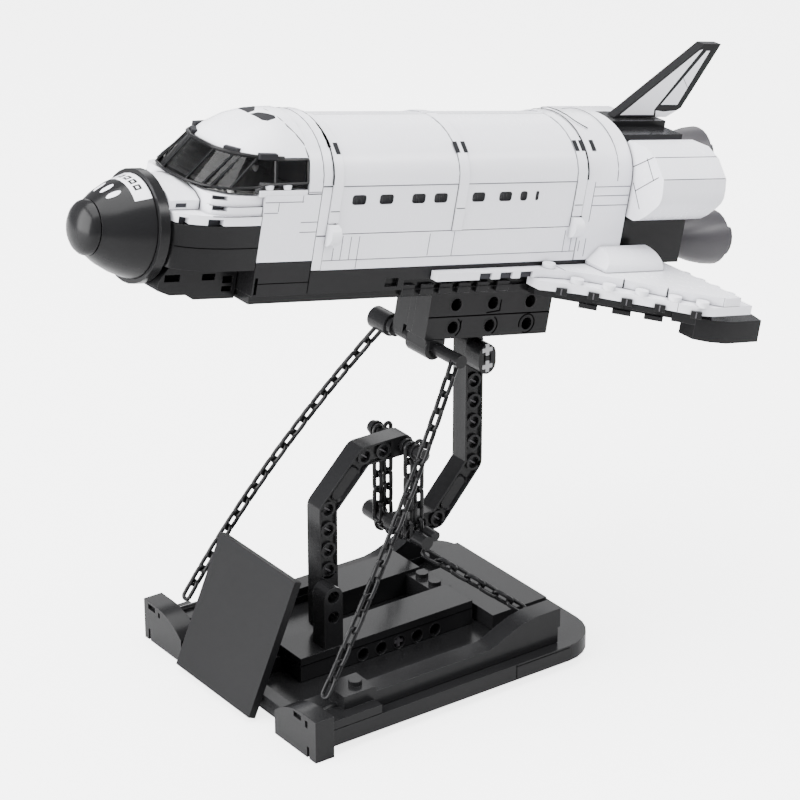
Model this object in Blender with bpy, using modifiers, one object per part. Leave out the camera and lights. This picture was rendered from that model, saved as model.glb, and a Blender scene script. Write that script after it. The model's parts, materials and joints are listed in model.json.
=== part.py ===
"""Brick-built toy space shuttle, hanging nose-up over a black two-arm display stand.

Millimetres in the named sizes, metres in the objects. The stand is modelled in the
world frame: origin under the middle of its plan, nose towards -Y, port side towards +X.
The shuttle is modelled level in its own frame and tilted as a whole.
"""
import math

import bmesh
import bpy
from mathutils import Matrix, Vector

# The building grid of the toy
STUD = 8.0
PLATE = 3.2
BRICK = 9.6
STUD_R = 2.4
STUD_H = 1.7
PIN_R = 2.4
GAP = 0.3
MM = 0.001

# The stand; its frame reaches a little further to port than to starboard
CORNER_HALF_X = 7 * STUD
FRAME_PORT = 54.6
FRAME_STARBOARD = -46.6
BASE_HALF_Y = 8 * STUD
BASE_BOTTOM = PLATE
FRAME_TOP = 3 * PLATE
BASE_TOP = PLATE + BRICK
DECK_TOP = BASE_TOP + PLATE
CORNER_R = 2 * STUD
CHANNEL_Z = 6.4
ARM_X = 4.0
ARM_T = 7.8
ARM_W = 7.6
AXLE_Y = 8.0
AXLE_UP_Z = 82.7
AXLE_LOW_Z = 49.2
CHAIN_WIRE = 1.5
CHAIN_PITCH = 6.5
LINK_W = 5.2
LOOP_R = 3.5
LINK_TURN = math.radians(83)
ANCHOR_R = 1.5
CHAIN_FOOT_X = 45.0
SLEEVE_R = 3.4

# How the shuttle hangs
TILT = math.radians(11.0)
HANG = (ARM_X, 40.0, 118.0)

# The shuttle's fuselage, in its own frame
HALF = 3 * STUD
BELLY_HALF = 22.0
BELLY_Z = 21.4
HULL_Z = 24.6
SILL_Z = 32.6
HINGE_Z = 45.0
PANEL_Z = 61.5
CROWN = 18.0
DOOR_T = 2.0
RIB_PROUD = 0.5
RIB_T = 3.0
RIB_W = 4.0
BAY_FRONT = -88.7
PANEL_L = 6 * STUD
KNUCKLE_R = 3.8
AFT_Y = 41.3
AFT_END = 75.0
NOSE_Z = 42.5
WING_SPAN = 68.5
WING_LOW = 24.9
WING_TOP = 31.3

for old in list(bpy.data.objects):
    bpy.data.objects.remove(old, do_unlink=True)

parts = bpy.data.collections.new("toy space shuttle on its stand")
bpy.context.scene.collection.children.link(parts)
cutters = bpy.data.collections.new("cutters and joined shapes")
bpy.context.scene.collection.children.link(cutters)


def material(name, colour, roughness, metallic=0.0, alpha=1.0):
    mat = bpy.data.materials.new(name)
    mat.use_nodes = True
    shader = mat.node_tree.nodes["Principled BSDF"]
    shader.inputs["Base Color"].default_value = (*colour, 1.0)
    shader.inputs["Roughness"].default_value = roughness
    shader.inputs["Metallic"].default_value = metallic
    shader.inputs["Alpha"].default_value = alpha
    mat.diffuse_color = (*colour, 1.0)
    return mat


WHITE = material("white plastic", (0.86, 0.86, 0.88), 0.25)
BLACK = material("black plastic", (0.03, 0.03, 0.032), 0.3)
GREY = material("grey plastic", (0.24, 0.23, 0.25), 0.35)
SMOKE = material("smoked clear plastic", (0.12, 0.12, 0.12), 0.08, alpha=0.5)


def empty(name, place, rotation=(0, 0, 0), parent=None):
    obj = bpy.data.objects.new(name, None)
    obj.location = [v * MM for v in place]
    obj.rotation_euler = rotation
    obj.parent = parent
    parts.objects.link(obj)
    return obj


shuttle = empty("shuttle frame", HANG, (-TILT, 0, 0))


def add(name, mesh, mat, parent, place=(0, 0, 0), rotation=(0, 0, 0)):
    """One named sub-part, placed by its location and rotation under its parent."""
    obj = bpy.data.objects.new(name, mesh)
    mesh.materials.clear()
    mesh.materials.append(mat)
    obj.location = [v * MM for v in place]
    obj.rotation_euler = rotation
    obj.parent = parent
    parts.objects.link(obj)
    return obj


def box_mesh(lo, hi):
    """A box between two corners, as a mesh about its middle, and that middle."""
    size = [(b - a) * MM for a, b in zip(lo, hi)]
    middle = [(a + b) / 2 for a, b in zip(lo, hi)]
    bm = bmesh.new()
    bmesh.ops.create_cube(bm, size=1.0, matrix=Matrix.Diagonal((*size, 1.0)))
    mesh = bpy.data.meshes.new("box")
    bm.to_mesh(mesh)
    bm.free()
    return mesh, middle


def box(name, lo, hi, mat, parent=None):
    mesh, middle = box_mesh(lo, hi)
    return add(name, mesh, mat, parent, middle)


AXIS_TURN = {"x": Matrix.Rotation(math.pi / 2, 4, "Y"),
             "y": Matrix.Rotation(-math.pi / 2, 4, "X"),
             "z": Matrix.Identity(4)}


def rod_mesh(axis, radius, length, sides=16, end_radius=None):
    """A cylinder or cone about its middle; end_radius is at its high end."""
    bm = bmesh.new()
    far = radius if end_radius is None else end_radius
    bmesh.ops.create_cone(bm, cap_ends=True, segments=sides, radius1=radius * MM,
                          radius2=far * MM, depth=length * MM, matrix=AXIS_TURN[axis])
    mesh = bpy.data.meshes.new("rod")
    bm.to_mesh(mesh)
    bm.free()
    mesh.shade_smooth()
    mesh.set_sharp_from_angle(angle=math.radians(40))
    return mesh


def rod(name, axis, start, length, radius, mat, parent=None, sides=16):
    middle = list(start)
    middle["xyz".index(axis)] += length / 2
    return add(name, rod_mesh(axis, radius, length, sides), mat, parent, middle)


# Local x and y of a flat outline become these two axes, its thickness the third
OUTLINE_TURN = {"yz": Matrix(((0, 0, 1, 0), (1, 0, 0, 0), (0, 1, 0, 0), (0, 0, 0, 1))),
                "xz": Matrix(((1, 0, 0, 0), (0, 0, -1, 0), (0, 1, 0, 0), (0, 0, 0, 1))),
                "xy": Matrix.Identity(4)}


def outline_mesh(plane, points, low, high):
    """A flat closed outline in a plane, thickened between low and high."""
    curve = bpy.data.curves.new("outline", "CURVE")
    curve.dimensions = "2D"
    curve.fill_mode = "BOTH"
    curve.extrude = (high - low) / 2 * MM
    spline = curve.splines.new("POLY")
    spline.points.add(len(points) - 1)
    for point, (u, v) in zip(spline.points, points):
        point.co = (u * MM, v * MM, 0, 1)
    spline.use_cyclic_u = True
    carrier = bpy.data.objects.new("outline", curve)
    bpy.context.scene.collection.objects.link(carrier)
    graph = bpy.context.evaluated_depsgraph_get()
    mesh = bpy.data.meshes.new_from_object(carrier.evaluated_get(graph))
    bpy.data.objects.remove(carrier, do_unlink=True)
    bpy.data.curves.remove(curve)
    bm = bmesh.new()
    bm.from_mesh(mesh)
    bmesh.ops.remove_doubles(bm, verts=bm.verts, dist=1e-6)
    middle = (low + high) / 2 * (-1 if plane == "xz" else 1)
    bmesh.ops.translate(bm, verts=bm.verts, vec=(0, 0, middle * MM))
    bmesh.ops.transform(bm, verts=bm.verts, matrix=OUTLINE_TURN[plane])
    bmesh.ops.recalc_face_normals(bm, faces=bm.faces)
    bm.to_mesh(mesh)
    bm.free()
    return mesh


def outline(name, plane, points, low, high, mat, parent=None):
    return add(name, outline_mesh(plane, points, low, high), mat, parent)


def arc(cx, cy, rx, ry, start, end, steps):
    """Points of an ellipse's arc, in degrees."""
    turn = [math.radians(start + (end - start) * i / steps) for i in range(steps + 1)]
    return [(cx + rx * math.cos(a), cy + ry * math.sin(a)) for a in turn]


def turned(name, profile, mat, parent, place, sides=32):
    """A solid turned about a line along Y; the profile is (radius, y), rear end first."""
    mesh = bpy.data.meshes.new(name)
    points = [(r * MM, 0, y * MM) for r, y in profile]
    edges = [(i, i + 1) for i in range(len(points) - 1)]
    mesh.from_pydata(points, edges, [])
    obj = add(name, mesh, mat, parent, place, (-math.pi / 2, 0, 0))
    screw = obj.modifiers.new("turn", "SCREW")
    screw.steps = sides
    screw.render_steps = sides
    screw.use_merge_vertices = True
    screw.merge_threshold = 0.00001
    screw.use_smooth_shade = True
    return obj


def hide(obj):
    parts.objects.unlink(obj)
    cutters.objects.link(obj)
    obj.hide_render = True
    obj.display_type = "WIRE"


def combine(target, others, operation):
    for other in others:
        hide(other)
        change = target.modifiers.new(operation.lower(), "BOOLEAN")
        change.operation = operation
        change.solver = "EXACT"
        change.object = other
    return target


def fuse(target, others):
    return combine(target, others, "UNION")


def cut(target, others):
    return combine(target, others, "DIFFERENCE")


def studs(centres, z, parent, mat, height=STUD_H):
    """Loose stud cylinders, sunk a little so that they join the plate under them."""
    sink = 0.4
    return [rod("stud", "z", (x, y, z - sink), height + sink, STUD_R, mat, parent, 12)
            for x, y in centres]


# The stand's base
def rounded_base(front):
    """Plan of the base: straight in front, with two round corners at the rear."""
    r = CORNER_R
    rear = BASE_HALF_Y
    port = arc(FRAME_PORT - r, rear - r, r, r, 0, 90, 6)
    starboard = arc(FRAME_STARBOARD + r, rear - r, r, r, 90, 180, 6)
    return [(FRAME_STARBOARD, front), (FRAME_PORT, front)] + port + starboard


def make_frame():
    lower = outline("base_frame", "xy", rounded_base(-56), BASE_BOTTOM, FRAME_TOP - 0.2, BLACK)
    cut(lower, [box("channel cutter", (-33.8, -70, CHANNEL_Z), (41.8, 48, 20), BLACK)])
    fuse(lower, [box("bottom plate", (-42, -55, 0), (48, 48, BASE_BOTTOM + 0.4), BLACK)])
    rear = box("base_rim", (-30, 47.2, FRAME_TOP), (25, 60.6, BASE_TOP), BLACK)
    fuse(rear, [box("rear step", (-16.8, 35.6, CHANNEL_Z + 0.3), (25, 47.7, BASE_TOP), BLACK)])
    wall = box("front_wall", (-34, -61.2, BASE_BOTTOM), (34, -56.3, 9.2), BLACK)
    corners = []
    for side in (1, -1):
        x0 = CORNER_HALF_X
        slope = [(x0, 0.0), (x0, DECK_TOP), (x0 - 8, DECK_TOP)]
        slope += arc(x0 - 8, DECK_TOP - 26, 26, 26, 95, 132, 5)
        slope += [(slope[-1][0], 0.0)]
        points = [(side * x, z) for x, z in slope]
        corners.append(outline("front corner", "xz", points, -BASE_HALF_Y, -56.3, BLACK))
    fuse(wall, corners)


make_frame()


def make_strips():
    """The raised strips along both sides, each with a curved ramp and a chain's foot."""
    port = box("port_strip", (42, -48, FRAME_TOP), (50, 15.2, DECK_TOP), BLACK)
    ramp = [(14.8, 15.6), (47, 15.6), (47, 23.0), (35.5, 23.0), (30, 22.0), (24, 19.8),
            (18.5, 17.2), (14.8, 15.9)]
    raised = [box("front plate", (36, -56, FRAME_TOP), (54.4, -35, BASE_TOP), BLACK),
              box("front block", (38, -48, BASE_TOP - 0.4), (50, -34.6, 18.0), BLACK),
              outline("ramp", "yz", ramp, 42, 50, BLACK),
              box("ramp foot", (42, 14.8, FRAME_TOP), (50, 46, DECK_TOP), BLACK)]
    raised += studs([(44.4, -39.4)], 18.0, None, BLACK)
    raised.append(rod("chain anchor", "y", (CHAIN_FOOT_X, -56, BASE_TOP - 0.4), 9, ANCHOR_R,
                      BLACK, None, 10))
    fuse(port, raised)
    low = box("starboard_strip", (-42.2, -56, FRAME_TOP), (-34.4, 47, BASE_TOP - 0.4), BLACK)
    ramp = [(24.5, 12.0), (47, 12.0), (47, 20.0), (42, 18.6), (35, 15.2), (30, 13.4),
            (24.5, 12.3)]
    raised = [outline("ramp", "yz", ramp, -42.2, -34.4, BLACK),
              box("front block", (-50, -56, FRAME_TOP), (-38, -48.4, BASE_TOP), BLACK),
              rod("chain anchor", "y", (-CHAIN_FOOT_X, -56, BASE_TOP), 9, ANCHOR_R, BLACK,
                  None, 10)]
    fuse(low, raised)


make_strips()


def make_deck():
    beam = box("deck_beam", (0, -43, 6.7), (16, 33, BASE_TOP), BLACK)
    holes = [rod("hole", "x", (8, y, 9.2), 10, PIN_R, BLACK, None, 12)
             for y in (-16, -8, 0, 8, 16)]
    cut(beam, holes)
    tile = box("deck_tile", (0, -43, BASE_TOP + 0.2), (16, 33, DECK_TOP), BLACK)
    foot_y = -28.5
    foot = [(foot_y - 3.9, DECK_TOP - 0.4), (foot_y + 3.9, DECK_TOP - 0.4)]
    foot += arc(foot_y, 36.0, 3.9, 3.9, 0, 180, 8)
    bracket = outline("foot bracket", "yz", foot, 8.3, 15.8, BLACK)
    cut(bracket, [rod("hole", "x", (7, foot_y, z), 10, PIN_R, BLACK, None, 12)
                  for z in (28, 36)])
    fuse(tile, [bracket])
    panel = box("deck_plates", (-33.6, -6, 6.7), (-17, 33.0, DECK_TOP), BLACK)
    cross = [box("cross plate", (-17.4, 27.0, 6.7), (-0.3, 35.2, 14.6), BLACK)]
    fuse(panel, cross + studs([(-12.6, 31), (-4.6, 31)], 14.6, None, BLACK))


make_deck()


def make_sign():
    lean = math.atan2(20.4, 47.3)
    tall = 51.5
    thick = 3.0
    frame = empty("sign frame", (-4, -68, 2.5), (-lean, 0, 0))
    box("sign_plate", (-24, 0, 0), (24, thick, tall), BLACK, frame)
    prop = box("sign_prop", (-4, thick + GAP, 12), (4, thick + GAP + 6, 46), BLACK, frame)
    pin = rod("sign pin", "x", (-10, thick + GAP + 3.5, 41), 26, 3.2, BLACK, frame)
    foot = box("sign foot", (-12, -56, 6.8), (4, -43.4, 12), BLACK)
    fuse(prop, [pin, foot])


make_sign()


# The two hooked arms
def bent_bar(name, path, x_low, x_high, width=ARM_W):
    """A flat bar with round ends along a bent line in the Y-Z plane."""
    half = width / 2
    pieces = []
    for (y0, z0), (y1, z1) in zip(path, path[1:]):
        turn = math.degrees(math.atan2(z1 - z0, y1 - y0))
        points = arc(y1, z1, half, half, turn - 90, turn + 90, 6)
        points += arc(y0, z0, half, half, turn + 90, turn + 270, 6)
        pieces.append(outline(name, "yz", points, x_low, x_high, BLACK))
    return fuse(pieces[0], pieces[1:])


def make_arms():
    low = ARM_X - ARM_T / 2
    high = ARM_X + ARM_T / 2
    leg_y = -25.0
    base_arm = bent_bar("base_arm", [(leg_y, 20.4), (leg_y, 66.4), (leg_y + 16, AXLE_UP_Z),
                                     (AXLE_Y, AXLE_UP_Z)], low, high)
    cut(base_arm, [rod("hole", "x", (-10, AXLE_Y, AXLE_UP_Z), 30, PIN_R + 0.3, BLACK)])
    top_y = 39.0
    hung_arm = bent_bar("shuttle_arm", [(top_y, 115.3), (top_y, AXLE_LOW_Z + 18),
                                        (top_y - 16, AXLE_LOW_Z), (AXLE_Y, AXLE_LOW_Z)],
                        low, high)
    cut(hung_arm, [rod("hole", "x", (-10, AXLE_Y, AXLE_LOW_Z), 30, PIN_R + 0.3, BLACK)])
    side = bent_bar("pin connector", [(38.6, 112.8), (38.6, 109.0)], high - 0.2, high + 8)
    fuse(hung_arm, [side])
    rod("upper_axle", "x", (ARM_X - 16, AXLE_Y, AXLE_UP_Z), 32, PIN_R, BLACK)
    lower = rod("lower_axle", "x", (ARM_X - 17.5, AXLE_Y, AXLE_LOW_Z), 35, PIN_R, BLACK)
    fuse(lower, [rod("sleeve", "x", (x, AXLE_Y, AXLE_LOW_Z), 7, SLEEVE_R, BLACK)
                 for x in (ARM_X - 18, ARM_X + 11)])


make_arms()


# Chains
def wire_ring(bm, centre, along, flat, outline_points):
    """A closed wire through points given along one direction and across it."""
    side = along.cross(flat)
    ring = []
    for u, v in outline_points:
        middle = along * u + side * v
        out = middle.normalized()
        r = CHAIN_WIRE / 2
        corners = [middle + out * r, middle + flat * r, middle - out * r, middle - flat * r]
        ring.append([bm.verts.new((centre + c) * MM) for c in corners])
    for a, b in zip(ring, ring[1:] + ring[:1]):
        for i in range(4):
            bm.faces.new((a[i], b[i], b[(i + 1) % 4], a[(i + 1) % 4]))


def oval():
    """A link's wire: flat across both ends, bulging at its sides."""
    half_l = (CHAIN_PITCH + 0.64 * CHAIN_WIRE) / 2
    half_w = (LINK_W - CHAIN_WIRE) / 2
    tip = 0.5 * half_w
    return [(half_l, tip), (half_l, -tip), (0, -half_w), (-half_l, -tip), (-half_l, tip),
            (0, half_w)]


def strand(start, end, first_flat):
    """Straight run of links, turned a quarter from one to the next."""
    run = end - start
    along = run.normalized()
    count = max(1, round(run.length / CHAIN_PITCH))
    for i in range(count):
        middle = start + run * ((i + 0.5) / count)
        flat = (first_flat - along * first_flat.dot(along)).normalized()
        if i % 2:
            flat = Matrix.Rotation(LINK_TURN, 3, along) @ flat
        yield middle, along, flat


def chain(name, strands, rings=()):
    """One chain: straight runs, and the round rings that they end in, as one body."""
    first = bmesh.new()
    rest = bmesh.new()
    links = []
    for start, end, first_flat in strands:
        links += [(m, a, f, oval()) for m, a, f in strand(Vector(start), Vector(end),
                                                   Vector(first_flat))]
    for centre in rings:
        circle = arc(0, 0, LOOP_R, LOOP_R, 0, 360, 12)[:-1]
        links.append((Vector(centre), Vector((0, 1, 0)), Vector((1, 0, 0)), circle))
    for i, link in enumerate(links):
        wire_ring(rest if i else first, *link)
    objects = []
    for bm in (first, rest):
        bmesh.ops.recalc_face_normals(bm, faces=bm.faces)
        mesh = bpy.data.meshes.new(name)
        bm.to_mesh(mesh)
        bm.free()
        objects.append(add(name, mesh, BLACK, None))
    whole, others = objects
    fuse(whole, [others])
    whole.modifiers[-1].use_self = True
    return whole


def on_shuttle(point):
    """A point of the shuttle's own frame, in the world frame."""
    x, y, z = point
    c, s = math.cos(TILT), math.sin(TILT)
    return (HANG[0] + x, HANG[1] + y * c + z * s, HANG[2] - y * s + z * c)


ROD_Y = -23.5
ROD_Z = -2.3
ROD_HALF = 26.0
CHAIN_X = 20.0
STRAND_Y = 2.2


def make_chains():
    sleeve = {1: PIN_R, -1: SLEEVE_R}
    for side, name in ((1, "port"), (-1, "starboard")):
        top = on_shuttle((side * CHAIN_X, ROD_Y, ROD_Z - sleeve[side] - 1.8))
        chain("front_chain_" + name,
              [(top, (side * CHAIN_FOOT_X, -52.5, DECK_TOP + 1.7), (0, 1, 0.5))])
        start = (ARM_X + side * 15.0, AXLE_Y + 1.0, AXLE_LOW_Z - SLEEVE_R - 1.8)
        foot = (39.2, 38.5, 20.5) if side == 1 else (-32.0, 40.0, 20.0)
        chain("rear_chain_" + name, [(start, foot, (1, 0, 0))])
        x = ARM_X + side * 9.5
        runs = [((x, y, AXLE_UP_Z - LOOP_R - 0.6), (x, y, AXLE_LOW_Z + LOOP_R + 0.6), (0, 1, 0))
                for y in (AXLE_Y - STRAND_Y, AXLE_Y + STRAND_Y)]
        chain("middle_chain_" + name, runs,
              [(x, AXLE_Y, AXLE_UP_Z), (x, AXLE_Y, AXLE_LOW_Z)])


make_chains()


# The shuttle: nose
def make_nose():
    cap = [(0, -165.9), (8.4, -165.9)]
    cap += arc(0, -166.2, 8.6, -5.4, 0, 75, 5)
    cap.append((0, -171.6))
    turned("nose_cap", cap, BLACK, shuttle, (0, 0, NOSE_Z))
    cone = [(0, -149.9), (17.3, -149.9), (15.2, -156), (12.3, -161.5), (9.2, -165.6), (0, -165.6)]
    turned("nose_cone", cone, BLACK, shuttle, (0, 0, NOSE_Z))
    ring = [(0, -146.0), (18.8, -146.0), (18.8, -149.6), (0, -149.6)]
    turned("nose_ring", ring, BLACK, shuttle, (0, 0, NOSE_Z))


make_nose()


def front_plan(front, half_front, inset=0.0, rear=-115.3):
    """Plan of a course behind the nose: narrow in front, full width at the rear."""
    side = arc(half_front, -122.0, HALF - inset - half_front, abs(front + 122.0), -70, 0, 5)
    right = [(half_front, front)] + side + [(HALF - inset, rear)]
    left = [(-x, y) for x, y in reversed(right)]
    return right + left


def make_front():
    outline("nose_courses", "xy", front_plan(-145.7, 15), 33.7, 48.6, BLACK, shuttle)
    chin = [(-145.7, 28), (-145.7, 25.0), (-141, 23.3), (-134.5, 23.2), (-131.5, 21.5),
            (-115.6, 21.4), (-115.6, 33.4), (-142.0, 33.4)]
    outline("chin", "yz", chin, -15, 15, BLACK, shuttle)
    low = front_plan(-145.7, 14)
    courses = [outline("white_courses", "xy", low, 48.9, 52.1, WHITE, shuttle)]
    for i in range(2):
        z = 51.9 + PLATE * i
        plan = front_plan(-133.8, 19 - i, 0.6 + 0.6 * i)
        courses.append(outline("upper course", "xy", plan, z, 55.2 + 3.4 * i, WHITE, shuttle))
    fuse(courses[0], courses[1:])
    arch = [(0, 59.0), (6.5, 58.5), (11.7, 57.2), (15, 55.3), (15, 52.3)]
    hood = arch + [(-x, z) for x, z in arch[:0:-1]]
    outline("nose_hood", "xz", hood, -145.5, -134.0, WHITE, shuttle)
    box("forward_fuselage", (-HALF, -115, 36.3), (HALF, -92.9, 58.9), WHITE, shuttle)


make_front()


def crown(half, low, top_z, base_z, steps):
    """Fuselage section: straight sides up from low, then an elliptic crown."""
    points = arc(0, base_z, half, top_z - base_z, 0, 180, steps)
    return [(half, low)] + points + [(-half, low)]


def loft(name, low_ring, low_z, high_ring, high_z, mat, parent):
    """A solid between two flat rings, each given for x above zero and mirrored."""
    bm = bmesh.new()
    rings = []
    for ring, z in ((low_ring, low_z), (high_ring, high_z)):
        whole = ring + [(-x, y) for x, y in reversed(ring)]
        rings.append([bm.verts.new((x * MM, y * MM, z * MM)) for x, y in whole])
    low, high = rings
    bm.faces.new(low)
    bm.faces.new(high)
    for i in range(len(low)):
        j = (i + 1) % len(low)
        bm.faces.new((low[i], low[j], high[j], high[i]))
    bmesh.ops.triangulate(bm, faces=bm.faces)
    bmesh.ops.recalc_face_normals(bm, faces=bm.faces)
    mesh = bpy.data.meshes.new(name)
    bm.to_mesh(mesh)
    bm.free()
    return add(name, mesh, mat, parent)


ROOF_Z = 70.6
COLLAR_Y = -98.0
COLLAR_TOP = 81.0


def boxy_dome(name, half_x, long_y, tall, place):
    """A dome with the plan of a rounded box, about its own origin."""
    corner = 0.7
    bm = bmesh.new()
    bmesh.ops.create_uvsphere(bm, u_segments=28, v_segments=14, radius=1.0)
    for vert in bm.verts:
        x, y, z = vert.co
        flat = math.hypot(x, y)
        if flat > 1e-6:
            x, y = [math.copysign(abs(v / flat) ** corner, v) * flat for v in (x, y)]
        vert.co = (x * half_x * MM, y * long_y * MM, z * tall * MM)
    mesh = bpy.data.meshes.new(name)
    bm.to_mesh(mesh)
    bm.free()
    return add(name, mesh, WHITE, shuttle, place)


def make_cockpit():
    low = [(7.0, -135.8), (14.0, -133.8), (21.0, -127.5), (23.6, -118.0), (23.6, -98.3)]
    high = [(7.0, -126.0), (14.0, -123.1), (19.0, -117.0), (21.2, -108.0), (21.4, -98.3)]
    glass = loft("cockpit_glass", low, 59.3, high, ROOF_Z - 0.3, SMOKE, shuttle)
    inner_low = [(6.2, -133.6), (13.0, -131.6), (19.2, -126.0), (21.6, -116.5), (21.6, -90)]
    inner_high = [(6.2, -121.4), (13.0, -118.8), (16.6, -114.0), (18.6, -106.0), (18.8, -90)]
    cut(glass, [loft("glass hollow", inner_low, 57.0, inner_high, 73.0, SMOKE, shuttle)])
    roof = boxy_dome("cockpit_roof", HALF, 30.0, 20.6, (0, COLLAR_Y, 61.0))
    combine(roof, [box("roof keep", (-30, -140, ROOF_Z), (30, COLLAR_Y + 0.4, 90), WHITE, shuttle)],
            "INTERSECT")
    collar = crown(HALF, 59.3, COLLAR_TOP, PANEL_Z, 16)
    fuse(roof, [outline("collar", "xz", collar, COLLAR_Y, -92.9, WHITE, shuttle)])
    frame = crown(HALF, SILL_Z + GAP, COLLAR_TOP, PANEL_Z, 16)
    outline("bay_front_frame", "xz", frame, -92.6, BAY_FRONT - 0.2, WHITE, shuttle)


make_cockpit()


# The shuttle: hull, bay and doors
REAR_RIB_END = BAY_FRONT + 3 * RIB_W + 2 * PANEL_L + 4 * GAP


def make_hull():
    rear = AFT_Y
    hull = box("hull", (-HALF, -115.0, HULL_Z), (HALF, rear, SILL_Z), BLACK, shuttle)
    fuse(hull, [box("forward hull", (-HALF, -115.0, SILL_Z - 0.4), (HALF, -92.8, 36.0), BLACK,
                    shuttle),
                box("belly plate", (-BELLY_HALF, -114.5, BELLY_Z), (BELLY_HALF, 20,
                    HULL_Z + 0.4), BLACK, shuttle)])
    box("bay_floor", (-19.7, BAY_FRONT, SILL_Z + 0.2), (19.7, REAR_RIB_END, SILL_Z + 1.8), WHITE,
        shuttle)
    for side, name in ((1, "port"), (-1, "starboard")):
        low, high = sorted((side * 20.0, side * HALF))
        sill = box("bay_side_" + name, (low, BAY_FRONT, SILL_Z + 0.2),
                   (high, REAR_RIB_END, HINGE_Z), WHITE, shuttle)
        fuse(sill, [rod("knuckle", "y", (side * HALF, y, HINGE_Z), RIB_W, KNUCKLE_R, WHITE,
                        shuttle, 16)
                    for y in (BAY_FRONT, REAR_RIB_END - RIB_W)])


make_hull()


def door_section(side, z_from, proud, thick, end_angle):
    """Closed outline of one door's shell, from a height on its flat side up to the crown."""
    def run(offset):
        half = HALF + offset
        top = CROWN + offset
        points = [(half, z_from)] if z_from < PANEL_Z else []
        start = 0.0
        if z_from > PANEL_Z:
            start = math.degrees(math.asin((z_from - PANEL_Z) / top))
        points += arc(0, PANEL_Z, half, top, start, end_angle, 8)
        return points
    outer = run(proud)
    inner = run(proud - thick)
    centre = GAP / 2
    outer[-1] = (centre, outer[-1][1])
    inner[-1] = (centre, inner[-1][1])
    points = outer + inner[::-1]
    return [(side * x, z) for x, z in points]


def shifted(points, side):
    """A section in the shuttle's frame, as the door's hinge frame sees it."""
    return [(x - side * HALF, z - HINGE_Z) for x, z in points]


def make_door(side, name):
    hinge = empty("door_" + name + "_hinge", (side * HALF, 0, HINGE_Z), parent=shuttle)
    low_z = HINGE_Z + GAP
    step = RIB_W + PANEL_L + 2 * GAP
    section = shifted(door_section(side, low_z, RIB_PROUD, RIB_T, 90), side)
    ribs = [outline("door rib", "xz", section, BAY_FRONT + i * step,
                    BAY_FRONT + i * step + RIB_W, WHITE, hinge) for i in range(3)]
    panel = shifted(door_section(side, PANEL_Z + 0.15, 0.0, DOOR_T, 90), side)
    crown_y = BAY_FRONT + RIB_W / 2, BAY_FRONT + 2 * step + RIB_W / 2
    shell = outline("door_%s_crown" % name, "xz", panel, *crown_y, WHITE, hinge)
    fuse(shell, ribs)
    cut(shell, [rod("knuckle clearance", "y", (0, BAY_FRONT + i * step - 2, 0), RIB_W + 2 + GAP,
                    KNUCKLE_R + GAP, WHITE, hinge) for i in (0, 2)])
    flat = [(HALF, low_z), (HALF, PANEL_Z - 0.15), (HALF - DOOR_T, PANEL_Z - 0.15),
            (HALF - DOOR_T, low_z)]
    flat = shifted([(side * x, z) for x, z in flat], side)
    for i, place in enumerate(("fore", "aft")):
        y = BAY_FRONT + i * step + RIB_W + GAP
        outline("door_%s_window_panel_%s" % (name, place), "xz", flat, y, y + PANEL_L, WHITE,
                hinge)


make_door(1, "port")
make_door(-1, "starboard")


# The shuttle: tail
POD = ((16.5, 50.0), (27.0, 47.7), (32.5, 49.7), (40.0, 57.0), (41.0, 59.0), (40.0, 66.0),
       (34.5, 71.8), (28.0, 74.8), (19.0, 74.8), (16.5, 72.6))


COLLAR_SHARE = 0.14


def bell(name, x, z, y0, y1, r0, r1):
    """A nozzle with its mouth at the rear: a flare, then a collar of four fifths its width."""
    wall = 1.4
    lip = y1 - (y1 - y0) * COLLAR_SHARE
    flare = [(r1 - (r1 - r0) * (1 - t) ** 2, y0 + (lip - y0) * t) for t in (1, 0.75, 0.5, 0.25, 0)]
    collar_r = 0.8 * r1
    outer = [(collar_r, y1), (collar_r, lip)] + flare
    inner = [(collar_r - wall, y1), (collar_r - wall, lip - wall)]
    inner += [(r - wall, y) for r, y in flare[1:-1]]
    profile = [(0, inner[-1][1])] + inner[::-1] + outer + [(0, y0)]
    turned(name, profile, GREY, shuttle, (x, 0, z), 24)


def make_tail():
    frame_start = REAR_RIB_END + GAP
    section = crown(HALF + 0.3, SILL_Z + GAP, PANEL_Z + CROWN + 1.0, PANEL_Z, 14)
    frame = outline("aft_frame", "xz", section, frame_start, AFT_Y, WHITE, shuttle)
    hump = [(22.0, 77.8), (22.6, 80.4), (26.5, 83.0), (AFT_Y - 0.2, 83.0), (AFT_Y - 0.2, 77.8)]
    fuse(frame, [outline("hump", "yz", hump, -10.0, 10.0, WHITE, shuttle)])
    body = box("tail_body", (-16, AFT_Y + GAP, 45.0), (16, AFT_END, 76.0), BLACK, shuttle)
    base = [(AFT_Y + 0.6, 75.6), (74.0, 75.6), (72.0, 78.3), (AFT_Y + 0.6, 78.3)]
    fuse(body, [box("tail hull", (-20, AFT_Y + GAP, 29.0), (20, AFT_END, 45.7), BLACK, shuttle),
                outline("fin base", "yz", base, -6.0, 6.0, BLACK, shuttle)])
    for side, name in ((1, "port"), (-1, "starboard")):
        pod = [(side * x, z) for x, z in POD]
        outline("pod_" + name, "xz", pod, AFT_Y + 0.6, 71.8, WHITE, shuttle)
        bell("main_bell_" + name, side * 12.5, 35.8, AFT_END + GAP, 99.8, 5.0, 10.2)
        bell("pod_nozzle_" + name, side * 27.0, 55.0, 72.1, 80.0, 2.4, 4.0)
    bell("main_bell_top", 0, 64.0, AFT_END + GAP, 94.6, 5.0, 10.2)
    fin = [(47.8, 78.6), (85.1, 106.0), (93.5, 106.0), (79.5, 82.0), (73.0, 78.6)]
    outline("fin", "yz", fin, -2.0, 2.0, WHITE, shuttle)


make_tail()


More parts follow.
